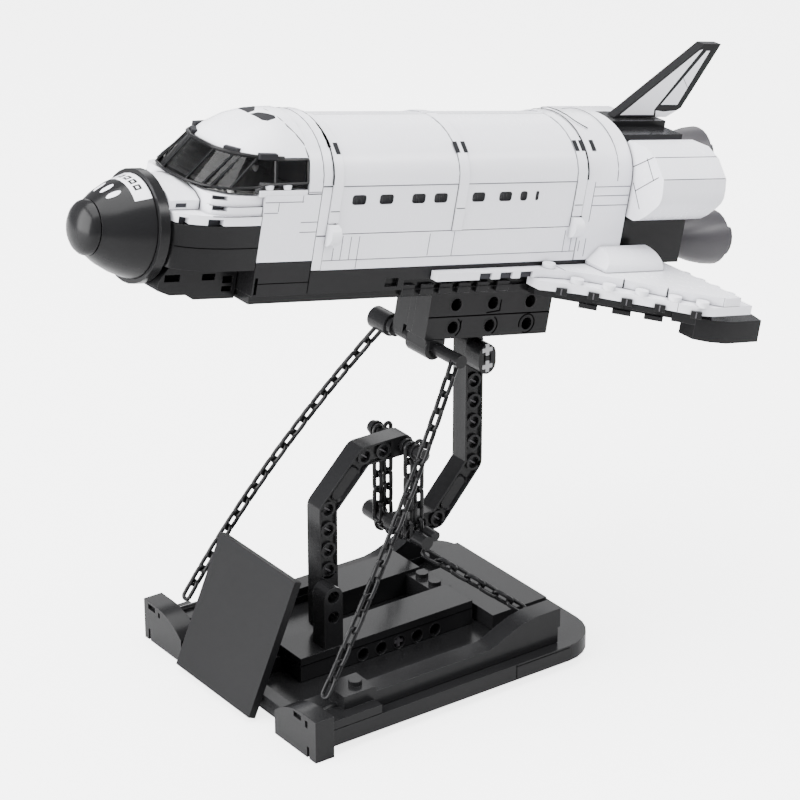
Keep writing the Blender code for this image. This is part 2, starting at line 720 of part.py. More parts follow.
def make_wing(side, name):
    root = HALF + GAP
    lower = [(root, 1.0), (31.5, 1.0), (38.0, 13.5), (47.0, 23.5), (55.0, 32.5), (62.0, 39.5),
             (66.0, 43.5), (WING_SPAN, 49.7), (WING_SPAN, 68.0), (root, 68.0)]
    plate = outline("wing_lower_" + name, "xy", [(side * x, y) for x, y in lower], WING_LOW,
                    28.1, WHITE, shuttle)
    centres = [(35.7, 14.0), (43.3, 22.4), (50.8, 31.2), (58.8, 39.7), (65.6, 46.7)]
    rear = [(34.8 + STUD * i, 65.2) for i in range(4)]
    fuse(plate, studs([(side * x, y) for x, y in centres + rear], 28.1, shuttle, WHITE))
    upper = [(root, -42.0), (28.0, -42.0), (28.0, 4.5), (31.0, 12.5), (36.0, 20.5), (44.0, 29.5),
             (55.0, 39.3), (61.5, 46.3), (WING_SPAN, 54.5), (WING_SPAN, 62.0), (root, 62.0)]
    outline("wing_upper_" + name, "xy", [(side * x, y) for x, y in upper], 28.3, WING_TOP,
            WHITE, shuttle)
    under = [(22.4, 4.0), (26.0, 4.0), (52.0, 34.0), (58.0, 42.0), (58.0, 60.0), (22.4, 60.0)]
    strip = outline("wing_under_" + name, "xy", [(side * x, y) for x, y in under], 21.2,
                    WING_LOW - 0.3, BLACK, shuttle)
    tip = [(52, 51), (59.5, 51), (63.5, 55), (66.2, 61), (66.2, 76.3), (57, 78.6), (52, 78.5)]
    fuse(strip, [outline("wing tip", "xy", [(side * x, y) for x, y in tip], 13.6, 21.6, BLACK,
                         shuttle)])
    base = WING_TOP + 0.2
    fairing = [(root, base), (36.0, base)]
    fairing += arc(root, base, 36.0 - root, 6.0, 0, 90, 6)[1:]
    body = outline("wing_fairing_" + name, "xz", [(side * x, z) for x, z in fairing], 26.5,
                   53.5, WHITE, shuttle)
    nose = [(20.0, base + 0.6), (26.0, base + 0.6), (34.0, base + 8.0), (20.0, base + 8.0)]
    cut(body, [outline("fairing slope", "yz", nose, -40, 40, WHITE, shuttle)])


make_wing(1, "port")
make_wing(-1, "starboard")


def make_bracket():
    top = BELLY_Z - GAP
    low = 1.5
    block = box("belly_bracket", (4, -30, low), (12, 25, top), BLACK, shuttle)
    holes = [rod("hole", "x", (3, y, z), 10, PIN_R, BLACK, shuttle, 12)
             for y in (-18.5, -2.0, 15.0) for z in (5.6, 14.0)]
    cut(block, holes)
    fuse(block, [box("far beam", (-12, -26, low), (-4, 25, top), BLACK, shuttle),
                 box("bridge", (-4.4, -22, low), (4.4, 25, top), BLACK, shuttle),
                 rod("chain rod", "x", (-ROD_HALF, ROD_Y, ROD_Z), 2 * ROD_HALF, PIN_R, BLACK,
                     shuttle),
                 rod("sleeve", "x", (-ROD_HALF, ROD_Y, ROD_Z), 13.5, SLEEVE_R, BLACK, shuttle),
                 rod("sleeve", "x", (-1, ROD_Y, ROD_Z), 12.5, SLEEVE_R, BLACK, shuttle),
                 box("lug", (-12, ROD_Y - 2.5, ROD_Z), (-6, ROD_Y + 3, low + 0.4), BLACK,
                     shuttle),
                 box("lug", (5, ROD_Y - 2.5, ROD_Z), (11, ROD_Y + 3, low + 0.4), BLACK,
                     shuttle)])


make_bracket()
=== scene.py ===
# %% [markdown]
# # A brick-built toy space shuttle on its chain-hung stand
#
# The solids that carry, fit and move were made first. This lesson loads them as a fixed frame
# and gives them their looks: glossy moulded plastic with rounded edges, the fine seams between
# the bricks, dark windows, printed markings and the little clips, pins and studs of the real toy.

# %% Load the frame
import json
import math

import bmesh
import bpy
from mathutils import Matrix, Vector

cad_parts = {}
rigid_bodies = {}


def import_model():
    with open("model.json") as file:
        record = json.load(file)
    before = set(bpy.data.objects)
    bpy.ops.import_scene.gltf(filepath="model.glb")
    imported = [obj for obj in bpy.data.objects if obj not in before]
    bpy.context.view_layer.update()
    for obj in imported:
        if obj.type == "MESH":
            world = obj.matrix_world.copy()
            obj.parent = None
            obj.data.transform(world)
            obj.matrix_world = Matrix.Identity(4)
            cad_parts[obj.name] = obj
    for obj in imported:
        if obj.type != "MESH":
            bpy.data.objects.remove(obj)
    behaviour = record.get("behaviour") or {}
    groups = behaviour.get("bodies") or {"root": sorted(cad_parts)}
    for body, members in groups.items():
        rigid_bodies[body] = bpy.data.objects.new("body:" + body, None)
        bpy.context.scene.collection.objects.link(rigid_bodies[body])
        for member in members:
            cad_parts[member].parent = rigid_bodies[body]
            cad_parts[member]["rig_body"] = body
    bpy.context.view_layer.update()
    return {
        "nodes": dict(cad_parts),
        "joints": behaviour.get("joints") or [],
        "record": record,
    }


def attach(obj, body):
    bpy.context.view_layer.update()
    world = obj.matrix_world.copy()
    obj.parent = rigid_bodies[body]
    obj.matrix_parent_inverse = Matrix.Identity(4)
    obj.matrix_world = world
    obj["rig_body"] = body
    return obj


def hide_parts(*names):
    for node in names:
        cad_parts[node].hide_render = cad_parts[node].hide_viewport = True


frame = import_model()
bpy.ops.object.select_all(action="DESELECT")

# %% [markdown]
# ## The camera
#
# The photo was taken with a long lens, a little above the toy and to the front of its port
# side. The place and the lens come from a fit to the base's edges, whose real size is known.

# %% Camera
camera_data = bpy.data.cameras.new("camera")
camera_data.lens = 135.0
camera_data.sensor_width = 36.0
camera_data.clip_start = 0.05
camera = bpy.data.objects.new("camera", camera_data)
camera.location = (0.792, -0.5586, 0.5329)
camera.rotation_euler = (math.radians(90 - 24.1), 0.0, math.radians(54.24))
bpy.context.scene.collection.objects.link(camera)
bpy.context.scene.camera = camera

# %% [markdown]
# ## Two ways of measuring
#
# The stand is measured from the table it stands on. The shuttle hangs nose-up, and is far
# easier to build level, so it has a frame of its own: port, aft and up. The doors' hinge tells
# where that frame is, because it runs along the shuttle at a known place in it.

# %% The shuttle's own frame
MM = 0.001
HALF = 24.0
HINGE_Z = 45.0
hinge = next(joint for joint in frame["joints"] if joint["name"] == "door_port_hinge")
port = Vector((1, 0, 0))
aft = Vector(hinge["axis"]).normalized()
up = port.cross(aft)
middle = Vector(hinge["pos_m"]) - port * HALF * MM - up * HINGE_Z * MM
LEVEL = Matrix.Translation(middle) @ Matrix((port, aft, up)).transposed().to_4x4()
print("the shuttle hangs nose-up by", round(math.degrees(math.asin(-aft.z)), 2), "degrees")

# %% [markdown]
# ## Small effects, built once
#
# Moulded plastic is never one flat value. Its skin has a faint orange peel, handling leaves
# soft scuffs that only show in the reflections, and thick and thin places differ a little in
# tone. Each of these is a pattern over the surface, so they go in one node group that every
# plastic uses with its own amounts. A second group paints a highlight onto the edges, where
# light catches.

# %% Helpers for nodes


def node(tree, kind, inputs=None, **settings):
    """One shader node, with its settings, and values or links for its inputs."""
    made = tree.nodes.new("ShaderNode" + kind)
    for key, value in settings.items():
        setattr(made, key, value)
    for key, value in (inputs or {}).items():
        if isinstance(value, bpy.types.NodeSocket):
            tree.links.new(value, made.inputs[key])
        else:
            made.inputs[key].default_value = value
    return made


def effect(name, inputs, outputs):
    """An empty node group with named sockets, and its two end nodes."""
    group = bpy.data.node_groups.new(name, "ShaderNodeTree")
    for label, kind in inputs:
        group.interface.new_socket(label, in_out="INPUT", socket_type="NodeSocket" + kind)
    for label, kind in outputs:
        group.interface.new_socket(label, in_out="OUTPUT", socket_type="NodeSocket" + kind)
    start = group.nodes.new("NodeGroupInput").outputs
    end = group.nodes.new("NodeGroupOutput").inputs
    return group, start, end


# %% The moulded skin and the painted edge highlight
TONE_SCALE = 28.0
SCUFF_SCALE = 420.0
PEEL_SCALE = 1900.0


def make_skin():
    """Tone, scuffs and orange peel of moulded plastic."""
    group, start, end = effect("moulded_skin", [("Place", "Vector"), ("Colour", "Color"), ("Tone", "Float"),
                                                ("Roughness", "Float"), ("Scuffs", "Float")],
                               [("Colour", "Color"), ("Roughness", "Float"), ("Height", "Float")])
    cloud = node(group, "TexNoise", {"Vector": start["Place"], "Scale": TONE_SCALE, "Detail": 3.0})
    swing = node(group, "MapRange", {"Value": cloud.outputs["Fac"], "From Min": 0.3, "From Max": 0.7,
                                     "To Min": -1.0, "To Max": 1.0})
    share = node(group, "Math", {0: swing.outputs[0], 1: start["Tone"]}, operation="MULTIPLY")
    gain = node(group, "Math", {0: share.outputs[0], 1: 1.0}, operation="ADD")
    toned = node(group, "VectorMath", {0: start["Colour"], "Scale": gain.outputs[0]}, operation="SCALE")
    stretch = node(group, "Mapping", {"Vector": start["Place"], "Rotation": (0.3, 0.5, 0.9),
                                      "Scale": (1.0, 5.0, 1.0)})
    rub = node(group, "TexNoise", {"Vector": stretch.outputs[0], "Scale": SCUFF_SCALE, "Detail": 4.0})
    mark = node(group, "MapRange", {"Value": rub.outputs["Fac"], "From Min": 0.52, "From Max": 0.72})
    added = node(group, "Math", {0: mark.outputs[0], 1: start["Scuffs"]}, operation="MULTIPLY")
    rough = node(group, "Math", {0: start["Roughness"], 1: added.outputs[0]}, operation="ADD")
    peel = node(group, "TexNoise", {"Vector": start["Place"], "Scale": PEEL_SCALE, "Detail": 1.0})
    group.links.new(toned.outputs[0], end["Colour"])
    group.links.new(rough.outputs[0], end["Roughness"])
    group.links.new(peel.outputs["Fac"], end["Height"])
    return group


def make_painted_edge_highlight():
    """Painted highlight: lightens a colour where the rounded normal has left the flat one."""
    group, start, end = effect("painted_edge_highlight", [("Colour", "Color"), ("Rounded", "Vector"), ("Flat", "Vector"),
                                               ("Lift", "Float")], [("Colour", "Color")])
    same = node(group, "VectorMath", {0: start["Rounded"], 1: start["Flat"]}, operation="DOT_PRODUCT")
    edge = node(group, "MapRange", {"Value": same.outputs["Value"], "From Min": 0.995, "From Max": 0.9})
    amount = node(group, "Math", {0: edge.outputs[0], 1: start["Lift"]}, operation="MULTIPLY")
    light = node(group, "Mix", {"Factor": amount.outputs[0], "A": start["Colour"],
                                "B": (0.8, 0.8, 0.82, 1.0)}, data_type="RGBA")
    group.links.new(light.outputs["Result"], end["Colour"])
    return group


skin = make_skin()
painted_edge_highlight = make_painted_edge_highlight()
print("effects:", skin.name, painted_edge_highlight.name)

# %% [markdown]
# ## The plastics
#
# Four plastics make the toy: white, black, dark grey and smoked clear. The white is bright and
# a touch cool. The black is a soft charcoal, since the studio's big lamps lie on it. A Bevel
# node rounds every corner by a fifth of a millimetre in the shading, as a real mould does. An
# Ambient Occlusion node paints shade into the white's inner corners, because white plastic
# throws so much light back and forth there that the small steps between the bricks would
# wash out. Some of the plastics also get a painted highlight along the rounded edges.

# %% Plastic materials
EDGE_RADIUS = 0.2 * MM
CORNER_REACH = 2.3 * MM


def plastic(name, colour, roughness, tone=0.03, scuffs=0.06, lift=0.04, peel=0.02, shine=0.5, corner=1.0):
    """A moulded plastic: skin, rounded edges, a painted highlight along them, and painted shade in the inner
    corners.
    """
    mat = bpy.data.materials.new(name)
    mat.use_nodes = True
    tree = mat.node_tree
    shader = tree.nodes["Principled BSDF"]
    shader.inputs["Specular IOR Level"].default_value = shine
    place = node(tree, "TexCoord").outputs["Object"]
    look = node(tree, "Group", node_tree=skin)
    tree.links.new(place, look.inputs["Place"])
    look.inputs["Colour"].default_value = (*colour, 1.0)
    # Painted shade: the Ambient Occlusion value darkens the colour in inner corners, at most down to the
    # corner share.
    open_air = node(tree, "AmbientOcclusion", {"Distance": CORNER_REACH}, samples=6).outputs["AO"]
    painted_corner_shade = node(tree, "MapRange", {"Value": open_air, "From Min": 0.2, "From Max": 0.85,
                                   "To Min": corner, "To Max": 1.0})
    look.inputs["Tone"].default_value = tone
    look.inputs["Roughness"].default_value = roughness
    look.inputs["Scuffs"].default_value = scuffs
    rounded = node(tree, "Bevel", {"Radius": EDGE_RADIUS}, samples=4)
    flat = node(tree, "NewGeometry")
    # Painted highlight: the edge group lightens the colour along the rounded edges.
    edge = node(tree, "Group", node_tree=painted_edge_highlight)
    tree.links.new(look.outputs["Colour"], edge.inputs["Colour"])
    tree.links.new(rounded.outputs[0], edge.inputs["Rounded"])
    tree.links.new(flat.outputs["Normal"], edge.inputs["Flat"])
    edge.inputs["Lift"].default_value = lift
    bump = node(tree, "Bump", {"Height": look.outputs["Height"], "Normal": rounded.outputs[0],
                               "Strength": peel, "Distance": 0.1 * MM})
    dimmed = node(tree, "VectorMath", {0: edge.outputs["Colour"], "Scale": painted_corner_shade.outputs[0]},
                  operation="SCALE")
    tree.links.new(dimmed.outputs[0], shader.inputs["Base Color"])
    tree.links.new(look.outputs["Roughness"], shader.inputs["Roughness"])
    tree.links.new(bump.outputs[0], shader.inputs["Normal"])
    return mat


WHITE = plastic("white_plastic", (0.79, 0.79, 0.835), 0.24, tone=0.015, lift=0.0, shine=0.4, corner=0.3)
BLACK = plastic("black_plastic", (0.009, 0.009, 0.0095), 0.23, tone=0.12, scuffs=0.03, lift=0.015,
                peel=0.006, shine=0.15)
GREY = plastic("grey_plastic", (0.055, 0.052, 0.057), 0.36, tone=0.04, lift=0.03, shine=0.3)
SATIN = plastic("sign_satin", (0.006, 0.006, 0.0065), 0.45, tone=0.05, scuffs=0.03, lift=0.02, shine=0.13)
PIN_GREY = plastic("pin_grey", (0.33, 0.33, 0.34), 0.35, tone=0.03)
SEAM = plastic("seam_shadow", (0.016, 0.016, 0.018), 0.6, tone=0.1, lift=0.0, shine=0.1)
FAINT = plastic("faint_seam", (0.08, 0.08, 0.09), 0.55, tone=0.08, lift=0.0, shine=0.1)
PANE = plastic("window_print", (0.008, 0.008, 0.009), 0.25, tone=0.1, lift=0.02, shine=0.15)
DEEP = plastic("deep_shadow", (0.0015, 0.0015, 0.0015), 0.7, tone=0.1, lift=0.0, shine=0.0)
NOTCH_SHADE = plastic("notch_shadow", (0.035, 0.035, 0.04), 0.5, tone=0.1, lift=0.0, shine=0.1)
SMOKE = plastic("smoked_plastic", (0.17, 0.17, 0.165), 0.05, tone=0.03, scuffs=0.04, lift=0.0, shine=0.3)
SMOKE.node_tree.nodes["Principled BSDF"].inputs["Transmission Weight"].default_value = 1.0
SMOKE.node_tree.nodes["Principled BSDF"].inputs["IOR"].default_value = 1.3
print("plastics made:", len(bpy.data.materials))

# %% [markdown]
# ## A smooth skin on the frame
#
# The frame's solids arrive as loose triangles, so light breaks at every facet of the round
# doors and bells. Their shape is right, so little is modelled anew: a copy of each is merged
# and shaded smooth up to a crease angle, and stands for the solid it came from. Only the chains
# are left out here, because their links are made one by one further down. The two pods get a
# rounder shape further down too.

# %% Copy, merge and smooth every solid
CREASE = math.radians(36)
PLASTICS = {"white_plastic": WHITE, "black_plastic": BLACK, "grey_plastic": GREY, "smoked_plastic": SMOKE}
slots = {part["node"]: part["material_slot"] for part in frame["record"]["subparts"]}


def only(piece):
    """Deselects everything, then selects one piece and makes it active."""
    bpy.ops.object.select_all(action="DESELECT")
    piece.select_set(True)
    bpy.context.view_layer.objects.active = piece


def duplicate(piece, name):
    """A copy of a piece, with a mesh of its own."""
    copy = bpy.data.objects.new(name, piece.data.copy())
    bpy.context.scene.collection.objects.link(copy)
    return copy


def smooth_skin(name):
    """A merged, smooth-shaded copy of one solid of the frame."""
    solid = frame["nodes"][name]
    copy = duplicate(solid, "skin_" + name)
    only(copy)
    bpy.ops.object.mode_set(mode="EDIT")
    bpy.ops.mesh.select_all(action="SELECT")
    bpy.ops.mesh.remove_doubles(threshold=0.002 * MM)
    bpy.ops.object.mode_set(mode="OBJECT")
    if copy.data.has_custom_normals:
        bpy.ops.mesh.customdata_custom_splitnormals_clear()
    bpy.ops.object.shade_smooth_by_angle(angle=CREASE)
    copy.data.materials.clear()
    copy.data.materials.append(PLASTICS[slots[name]])
    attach(copy, solid["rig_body"])
    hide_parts(name)
    return copy


skins = {name: smooth_skin(name) for name in sorted(frame["nodes"]) if "chain" not in name}
skins["sign_plate"].data.materials[0] = SATIN
for name, solid in frame["nodes"].items():
    solid.data.materials.clear()
    solid.data.materials.append(PLASTICS[slots[name]])
print("smooth skins:", len(skins))

# %% [markdown]
# ## Helpers for shaping by hand
#
# Most small parts are a block with its edges rounded, a round pin, or a fine line along a
# seam. Each helper below does what a modeller does by hand: add a primitive at its size and
# place, shape it in edit mode, and leave its place in the mesh.

# %% Finish a piece
BODY = "shuttle_and_stand"


def settle(piece, turn=None):
    """Puts a turn or move into the mesh, so that the object itself sits at the origin."""
    if turn is not None:
        piece.matrix_world = turn @ piece.matrix_world
    only(piece)
    bpy.ops.object.transform_apply(location=True, rotation=True, scale=True)
    return piece


def merged(pieces):
    """Joins shapes into the first one."""
    bpy.ops.object.select_all(action="DESELECT")
    for piece in pieces:
        piece.select_set(True)
    bpy.context.view_layer.objects.active = pieces[0]
    if len(pieces) > 1:
        bpy.ops.object.join()
    return pieces[0]


def joined(pieces, level):
    """Joins shapes into one, and tilts it with the shuttle if it was built level."""
    return settle(merged(pieces), LEVEL if level else None)


def finish(pieces, name, mat, body=BODY, level=True, crease=CREASE):
    """Makes like shapes one named piece, and gives it finish and body."""
    whole = joined(pieces, level)
    whole.name = name
    whole.data.name = name
    bpy.ops.object.shade_smooth_by_angle(angle=crease)
    whole.data.materials.clear()
    whole.data.materials.append(mat)
    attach(whole, body)
    print(name, "from", len(pieces), "shapes,", len(whole.data.polygons), "faces")
    return whole


# %% The two sides
SIDES = ((1, "port"), (-1, "starboard"))


def both(make):
    """Makes shapes for the port side and for the starboard side."""
    return [shape for side, _ in SIDES for shape in make(side)]


def mirrored(side, points):
    """A line of points given for the port side."""
    return [(side * x, y, z) for x, y, z in points]


def both_sides(points):
    """A line from the port side across to the starboard side."""
    return mirrored(1, points[::-1]) + mirrored(-1, points)


def side_lines(lines):
    """Lines given for the port side, and their mirror images."""
    return both(lambda side: [mirrored(side, line) for line in lines])


def wall_lines(x, lines):
    """Lines on both side walls, x out from the middle, each given as (y, z) points."""
    return side_lines([[(x, y, z) for y, z in line] for line in lines])


# %% Blocks and pins
def pick_edges(piece, wanted):
    """Enters edit mode with the edges selected whose direction passes the test."""
    only(piece)
    bpy.ops.object.mode_set(mode="EDIT")
    bpy.ops.mesh.select_mode(type="EDGE")
    bpy.ops.mesh.select_all(action="DESELECT")
    shape = bmesh.from_edit_mesh(piece.data)
    for edge in shape.edges:
        edge.select_set(wanted((edge.verts[1].co - edge.verts[0].co).normalized()))
    bmesh.update_edit_mesh(piece.data)


def pick_faces(piece, wanted):
    """Enters edit mode with the faces selected that pass the test."""
    only(piece)
    bpy.ops.object.mode_set(mode="EDIT")
    bpy.ops.mesh.select_mode(type="FACE")
    bpy.ops.mesh.select_all(action="DESELECT")
    shape = bmesh.from_edit_mesh(piece.data)
    for face in shape.faces:
        face.select_set(wanted(face))
    bmesh.update_edit_mesh(piece.data)


def block(low, high, edge=0.12):
    """A box between two corners in millimetres, with all its edges bevelled."""
    low, high = Vector(low), Vector(high)
    bpy.ops.mesh.primitive_cube_add(size=1.0, location=(low + high) / 2 * MM)
    piece = bpy.context.object
    piece.scale = [abs(v) * MM for v in high - low]
    settle(piece)
    pick_edges(piece, lambda way: True)
    bpy.ops.mesh.bevel(offset=edge * MM, segments=1, affect="EDGES")
    bpy.ops.object.mode_set(mode="OBJECT")
    return piece


AXES = {"x": Vector((1, 0, 0)), "y": Vector((0, 1, 0)), "z": Vector((0, 0, 1))}
AXIS_TURN = {"x": (0, math.pi / 2, 0), "y": (math.pi / 2, 0, 0), "z": (0, 0, 0)}


def cylinder(centre, axis, radius, length, sides):
    """A cylinder about its middle, in edit mode with both its end faces selected."""
    bpy.ops.mesh.primitive_cylinder_add(vertices=sides, radius=radius * MM, depth=length * MM,
                                        location=Vector(centre) * MM, rotation=AXIS_TURN[axis])
    piece = settle(bpy.context.object)
    pick_faces(piece, lambda face: abs(face.normal.dot(AXES[axis])) > 0.9)
    return piece


def pin(centre, axis, radius, length, edge=0.2, sides=20):
    """A round pin about its middle, with a chamfer round both ends."""
    piece = cylinder(centre, axis, radius, length, sides)
    bpy.ops.mesh.bevel(offset=edge * MM, segments=1, affect="EDGES")
    bpy.ops.object.mode_set(mode="OBJECT")
    return piece


def ring(centre, axis, radius, wall, length, sides=24):
    """A short open ring: a cylinder's end faces inset and joined through."""
    piece = cylinder(centre, axis, radius, length, sides)
    bpy.ops.mesh.inset(thickness=wall * MM)
    bpy.ops.mesh.bridge_edge_loops()
    bpy.ops.object.mode_set(mode="OBJECT")
    return piece


# %% Seam lines
def drawn(points):
    """A line drawn point by point: one vertex, pulled out to each next point."""
    points = [Vector(point) * MM for point in points]
    bpy.ops.mesh.primitive_plane_add(size=MM, location=points[0])
    line = bpy.context.object
    settle(line)
    bpy.ops.object.mode_set(mode="EDIT")
    bpy.ops.mesh.select_mode(type="VERT")
    bpy.ops.mesh.select_all(action="SELECT")
    bpy.ops.mesh.merge(type="CENTER")
    for here, there in zip(points, points[1:]):
        bpy.ops.mesh.extrude_vertices_move(TRANSFORM_OT_translate={"value": there - here})
    bpy.ops.object.mode_set(mode="OBJECT")
    return line


def wires(lines, radius):
    """The drawn lines as thin closed wires."""
    whole = merged([drawn(points) for points in lines])
    bpy.ops.object.convert(target="CURVE")
    whole.data.bevel_depth = radius * MM
    whole.data.bevel_resolution = 1
    whole.data.use_fill_caps = True
    bpy.ops.object.convert(target="MESH")
    only(whole)
    bpy.ops.object.mode_set(mode="EDIT")
    bpy.ops.mesh.select_all(action="SELECT")
    bpy.ops.mesh.remove_doubles(threshold=0.002 * MM)
    bpy.ops.mesh.normals_make_consistent(inside=False)
    bpy.ops.object.mode_set(mode="OBJECT")
    return whole


def seams(name, lines, radius=0.13, mat=SEAM, body=BODY, level=True):
    """One piece of all the seam lines of a region, sunk half into the surface."""
    return finish([wires(lines, radius)], name, mat, body, level)


# %% [markdown]
# ## The payload bay doors
#
# Each door is one crown with three ribs and two flat panels. The panels carry the cabin
# windows, dark rounded oblongs in a row that get narrower towards the tail. On the toy they
# are printed. Here each is a thin pane with round corners and a sunk middle, so that it also
# catches light like a window. The ribs have short slots near their tops, for a fingernail; each
# is a thin dark plate of painted shade.

# %% Door windows
WINDOW_Z = 56.8
WINDOW_TALL = 3.3
WINDOW_CORNER = 0.95
PANE_PROUD = 0.12
PANE_FRAME = 0.18
PANE_SUNK = 0.08
WINDOWS = ((-77.2, 5.6), (-65.9, 5.6), (-52.4, 5.5), (-43.0, 5.5), (-26.7, 5.4), (-14.9, 5.4), (-6.8, 3.0),
           (-0.8, 1.3))


def cabin_window(side, y, long):
    """A pane on a door's flat panel: round corners, and a middle pressed in."""
    x = side * HALF
    bpy.ops.mesh.primitive_cube_add(size=1.0, location=Vector((x, y, WINDOW_Z)) * MM)
    pane = bpy.context.object
    pane.scale = (2 * PANE_PROUD * MM, long * MM, WINDOW_TALL * MM)
    settle(pane)
    pick_edges(pane, lambda way: abs(way.x) > 0.9)
    bpy.ops.mesh.bevel(offset=min(WINDOW_CORNER, 0.4 * long) * MM, segments=4, affect="EDGES")
    bpy.ops.object.mode_set(mode="OBJECT")
    pick_faces(pane, lambda face: face.normal.x * side > 0.9)
    bpy.ops.mesh.inset(thickness=PANE_FRAME * MM)
    bpy.ops.transform.translate(value=(-side * PANE_SUNK * MM, 0, 0))
    bpy.ops.object.mode_set(mode="OBJECT")
    return pane


for side, name in SIDES:
    panes = [cabin_window(side, y, long) for y, long in WINDOWS]
    finish(panes, "door_windows_" + name, PANE, "door_" + name)

# %% Nail slots and rib seams
CROWN_Z = 61.5
CROWN_RISE = 18.0
RIB_STARTS = (-88.7, -36.1, 16.5)
RIB_WIDE = 4.0
RIB_PROUD = 0.5
RIB_SEAM_Z = 53.1
SLOT_ANGLE = 39.0
SLOT_LONG = 4.4
DOOR_SLOTS = (-85.9, -35.9, -32.5, 17.2, 20.0)


def on_crown(side, angle, y, out=0.0):
    """A point on the doors' elliptic crown, angle 0 at its side and 90 at its top."""
    turn = math.radians(angle)
    return Vector((side * (HALF + out) * math.cos(turn), y, CROWN_Z + (CROWN_RISE + out) * math.sin(turn)))


def nail_slot(side, y, out):
    """A thin dark plate along the crown: the painted shade inside a nail slot."""
    before, after = (on_crown(side, SLOT_ANGLE + step, y, out) for step in (-5, 5))
    slope = math.atan2(after.z - before.z, side * (after.x - before.x))
    plate = block((-0.1, -0.9, -SLOT_LONG / 2), (0.1, 0.9, SLOT_LONG / 2), 0.05)
    lean = side * (math.pi / 2 - slope)
    turn = Matrix.Rotation(lean, 4, "Y")
    return settle(plate, Matrix.Translation((before + after) / 2 * MM) @ turn)


for side, name in SIDES:
    slots_made = [nail_slot(side, y, RIB_PROUD) for y in DOOR_SLOTS]
    finish(slots_made, "door_slots_" + name, SEAM, "door_" + name)
    x = side * (HALF + RIB_PROUD)
    lines = [[(x, start + 0.2, RIB_SEAM_Z), (x, start + RIB_WIDE - 0.2, RIB_SEAM_Z)] for start in RIB_STARTS]
    seams("door_seams_" + name, lines, 0.14, body="door_" + name)
fixed = both(lambda side: [nail_slot(side, -90.0, 0.0), nail_slot(side, 24.8, 0.6)])
finish(fixed, "frame_slots", SEAM)

# %% [markdown]
# ## Cutting into a solid
#
# Where bricks meet, the toy has real notches, holes and channels. They are cut with booleans,
# as a mould or a cutter would leave them. A second helper splits a solid where a shape passes
# through it, which is how a printed mark or a band of another colour is set in flush.

# %% Prisms, carving and splitting
def prism(points, axis, low, high):
    """A closed outline drawn from its given points, filled, and pulled out along an axis, in millimetres."""
    at = "xyz".index(axis)
    outline = drawn([(*point[:at], low, *point[at:]) for point in points])
    only(outline)
    pull = AXES[axis] * (high - low) * MM
    bpy.ops.object.mode_set(mode="EDIT")
    bpy.ops.mesh.select_all(action="SELECT")
    bpy.ops.mesh.edge_face_add()
    bpy.ops.mesh.extrude_region_move(TRANSFORM_OT_translate={"value": pull})
    bpy.ops.mesh.select_all(action="SELECT")
    bpy.ops.mesh.normals_make_consistent(inside=False)
    bpy.ops.object.mode_set(mode="OBJECT")
    return outline


def boolean(piece, tool, operation):
    """Applies one boolean to a piece with a tool shape."""
    only(piece)
    change = piece.modifiers.new("cut", "BOOLEAN")
    change.operation = operation
    change.solver = "EXACT"
    change.object = tool
    bpy.ops.object.modifier_apply(modifier=change.name)
    bpy.ops.object.shade_smooth_by_angle(angle=CREASE)


def carve(piece, cutters, level=True):
    """Cuts shapes out of a piece and throws the shapes away."""
    tool = joined(cutters, level)
    boolean(piece, tool, "DIFFERENCE")
    bpy.data.objects.remove(tool, do_unlink=True)


def split(piece, shapes, name, mat, level=True):
    """Parts a piece where shapes pass through it; what lies inside becomes a piece of its own."""
    tool = joined(shapes, level)
    inside = duplicate(piece, name)
    boolean(inside, tool, "INTERSECT")
    boolean(piece, tool, "DIFFERENCE")
    bpy.data.objects.remove(tool, do_unlink=True)
    return finish([inside], name, mat, level=False)


def side_box(side, x_low, x_high, y_low, y_high, z_low, z_high, edge=0.0):
    """A box given for the port side, mirrored for starboard."""
    low_x, high_x = sorted((side * x_low, side * x_high))
    if edge:
        return block((low_x, y_low, z_low), (high_x, y_high, z_high), edge)
    centre = Vector((low_x + high_x, y_low + y_high, z_low + z_high)) / 2
    bpy.ops.mesh.primitive_cube_add(size=1.0, location=centre * MM)
    piece = bpy.context.object
    piece.scale = ((high_x - low_x) * MM, (y_high - y_low) * MM, (z_high - z_low) * MM)
    return settle(piece)


NOTCH_BACK = 0.5


def notches(name, piece, places, deep, mat=NOTCH_SHADE):
    """Cuts notches inwards from both sides of a piece, and lines each with a dark plate: painted shade at the
    notch's back.
    """
    carve(piece, both(lambda side: [side_box(side, x - deep, x + 2, *rest) for x, *rest in places]))
    plates = both(lambda side: [side_box(side, x - deep - 0.05, x - deep + NOTCH_BACK, *rest)
                                for x, *rest in places])
    return finish(plates, name, mat)


# %% [markdown]
# ## The nose
#
# The round cone carries three white ovals and a white patch with four little squares, all
# printed. The white courses behind it step back plate by plate, each with open slots where its
# plates clip together, and the same slots show in the black chin below.

# %% Nose markings
NOSE_Z = 42.5
OVAL_LONG = 4.6
OVAL_WIDE = 2.2
OVAL_Y = -160.2
OVAL_ANGLES = (70, 90, 110)
SQUARE_Y = -152.9
SQUARE_ANGLES = (67, 79, 91, 103)
FAN_OUT = 22
FAN_IN = 5
CAP_Y = -165.9
CAP_STRETCH = (1.07, 0.93, 1.07)


def about_nose(piece, angle):
    """Turns a shape made at the top of the cone to an angle about the cone's axis."""
    centre = Matrix.Translation((0, 0, NOSE_Z * MM))
    turn = Matrix.Rotation(math.radians(90 - angle), 4, "Y")
    return settle(piece, centre @ turn @ centre.inverted())


def oval(angle):
    """An upright oval bar through the top of the cone, turned to its angle."""
    bpy.ops.mesh.primitive_cylinder_add(vertices=28, radius=0.5 * MM, depth=9 * MM,
                                        location=(0, OVAL_Y * MM, (NOSE_Z + 13) * MM))
    bar = bpy.context.object
    bar.scale = (OVAL_WIDE, OVAL_LONG, 1)
    return about_nose(settle(bar), angle)


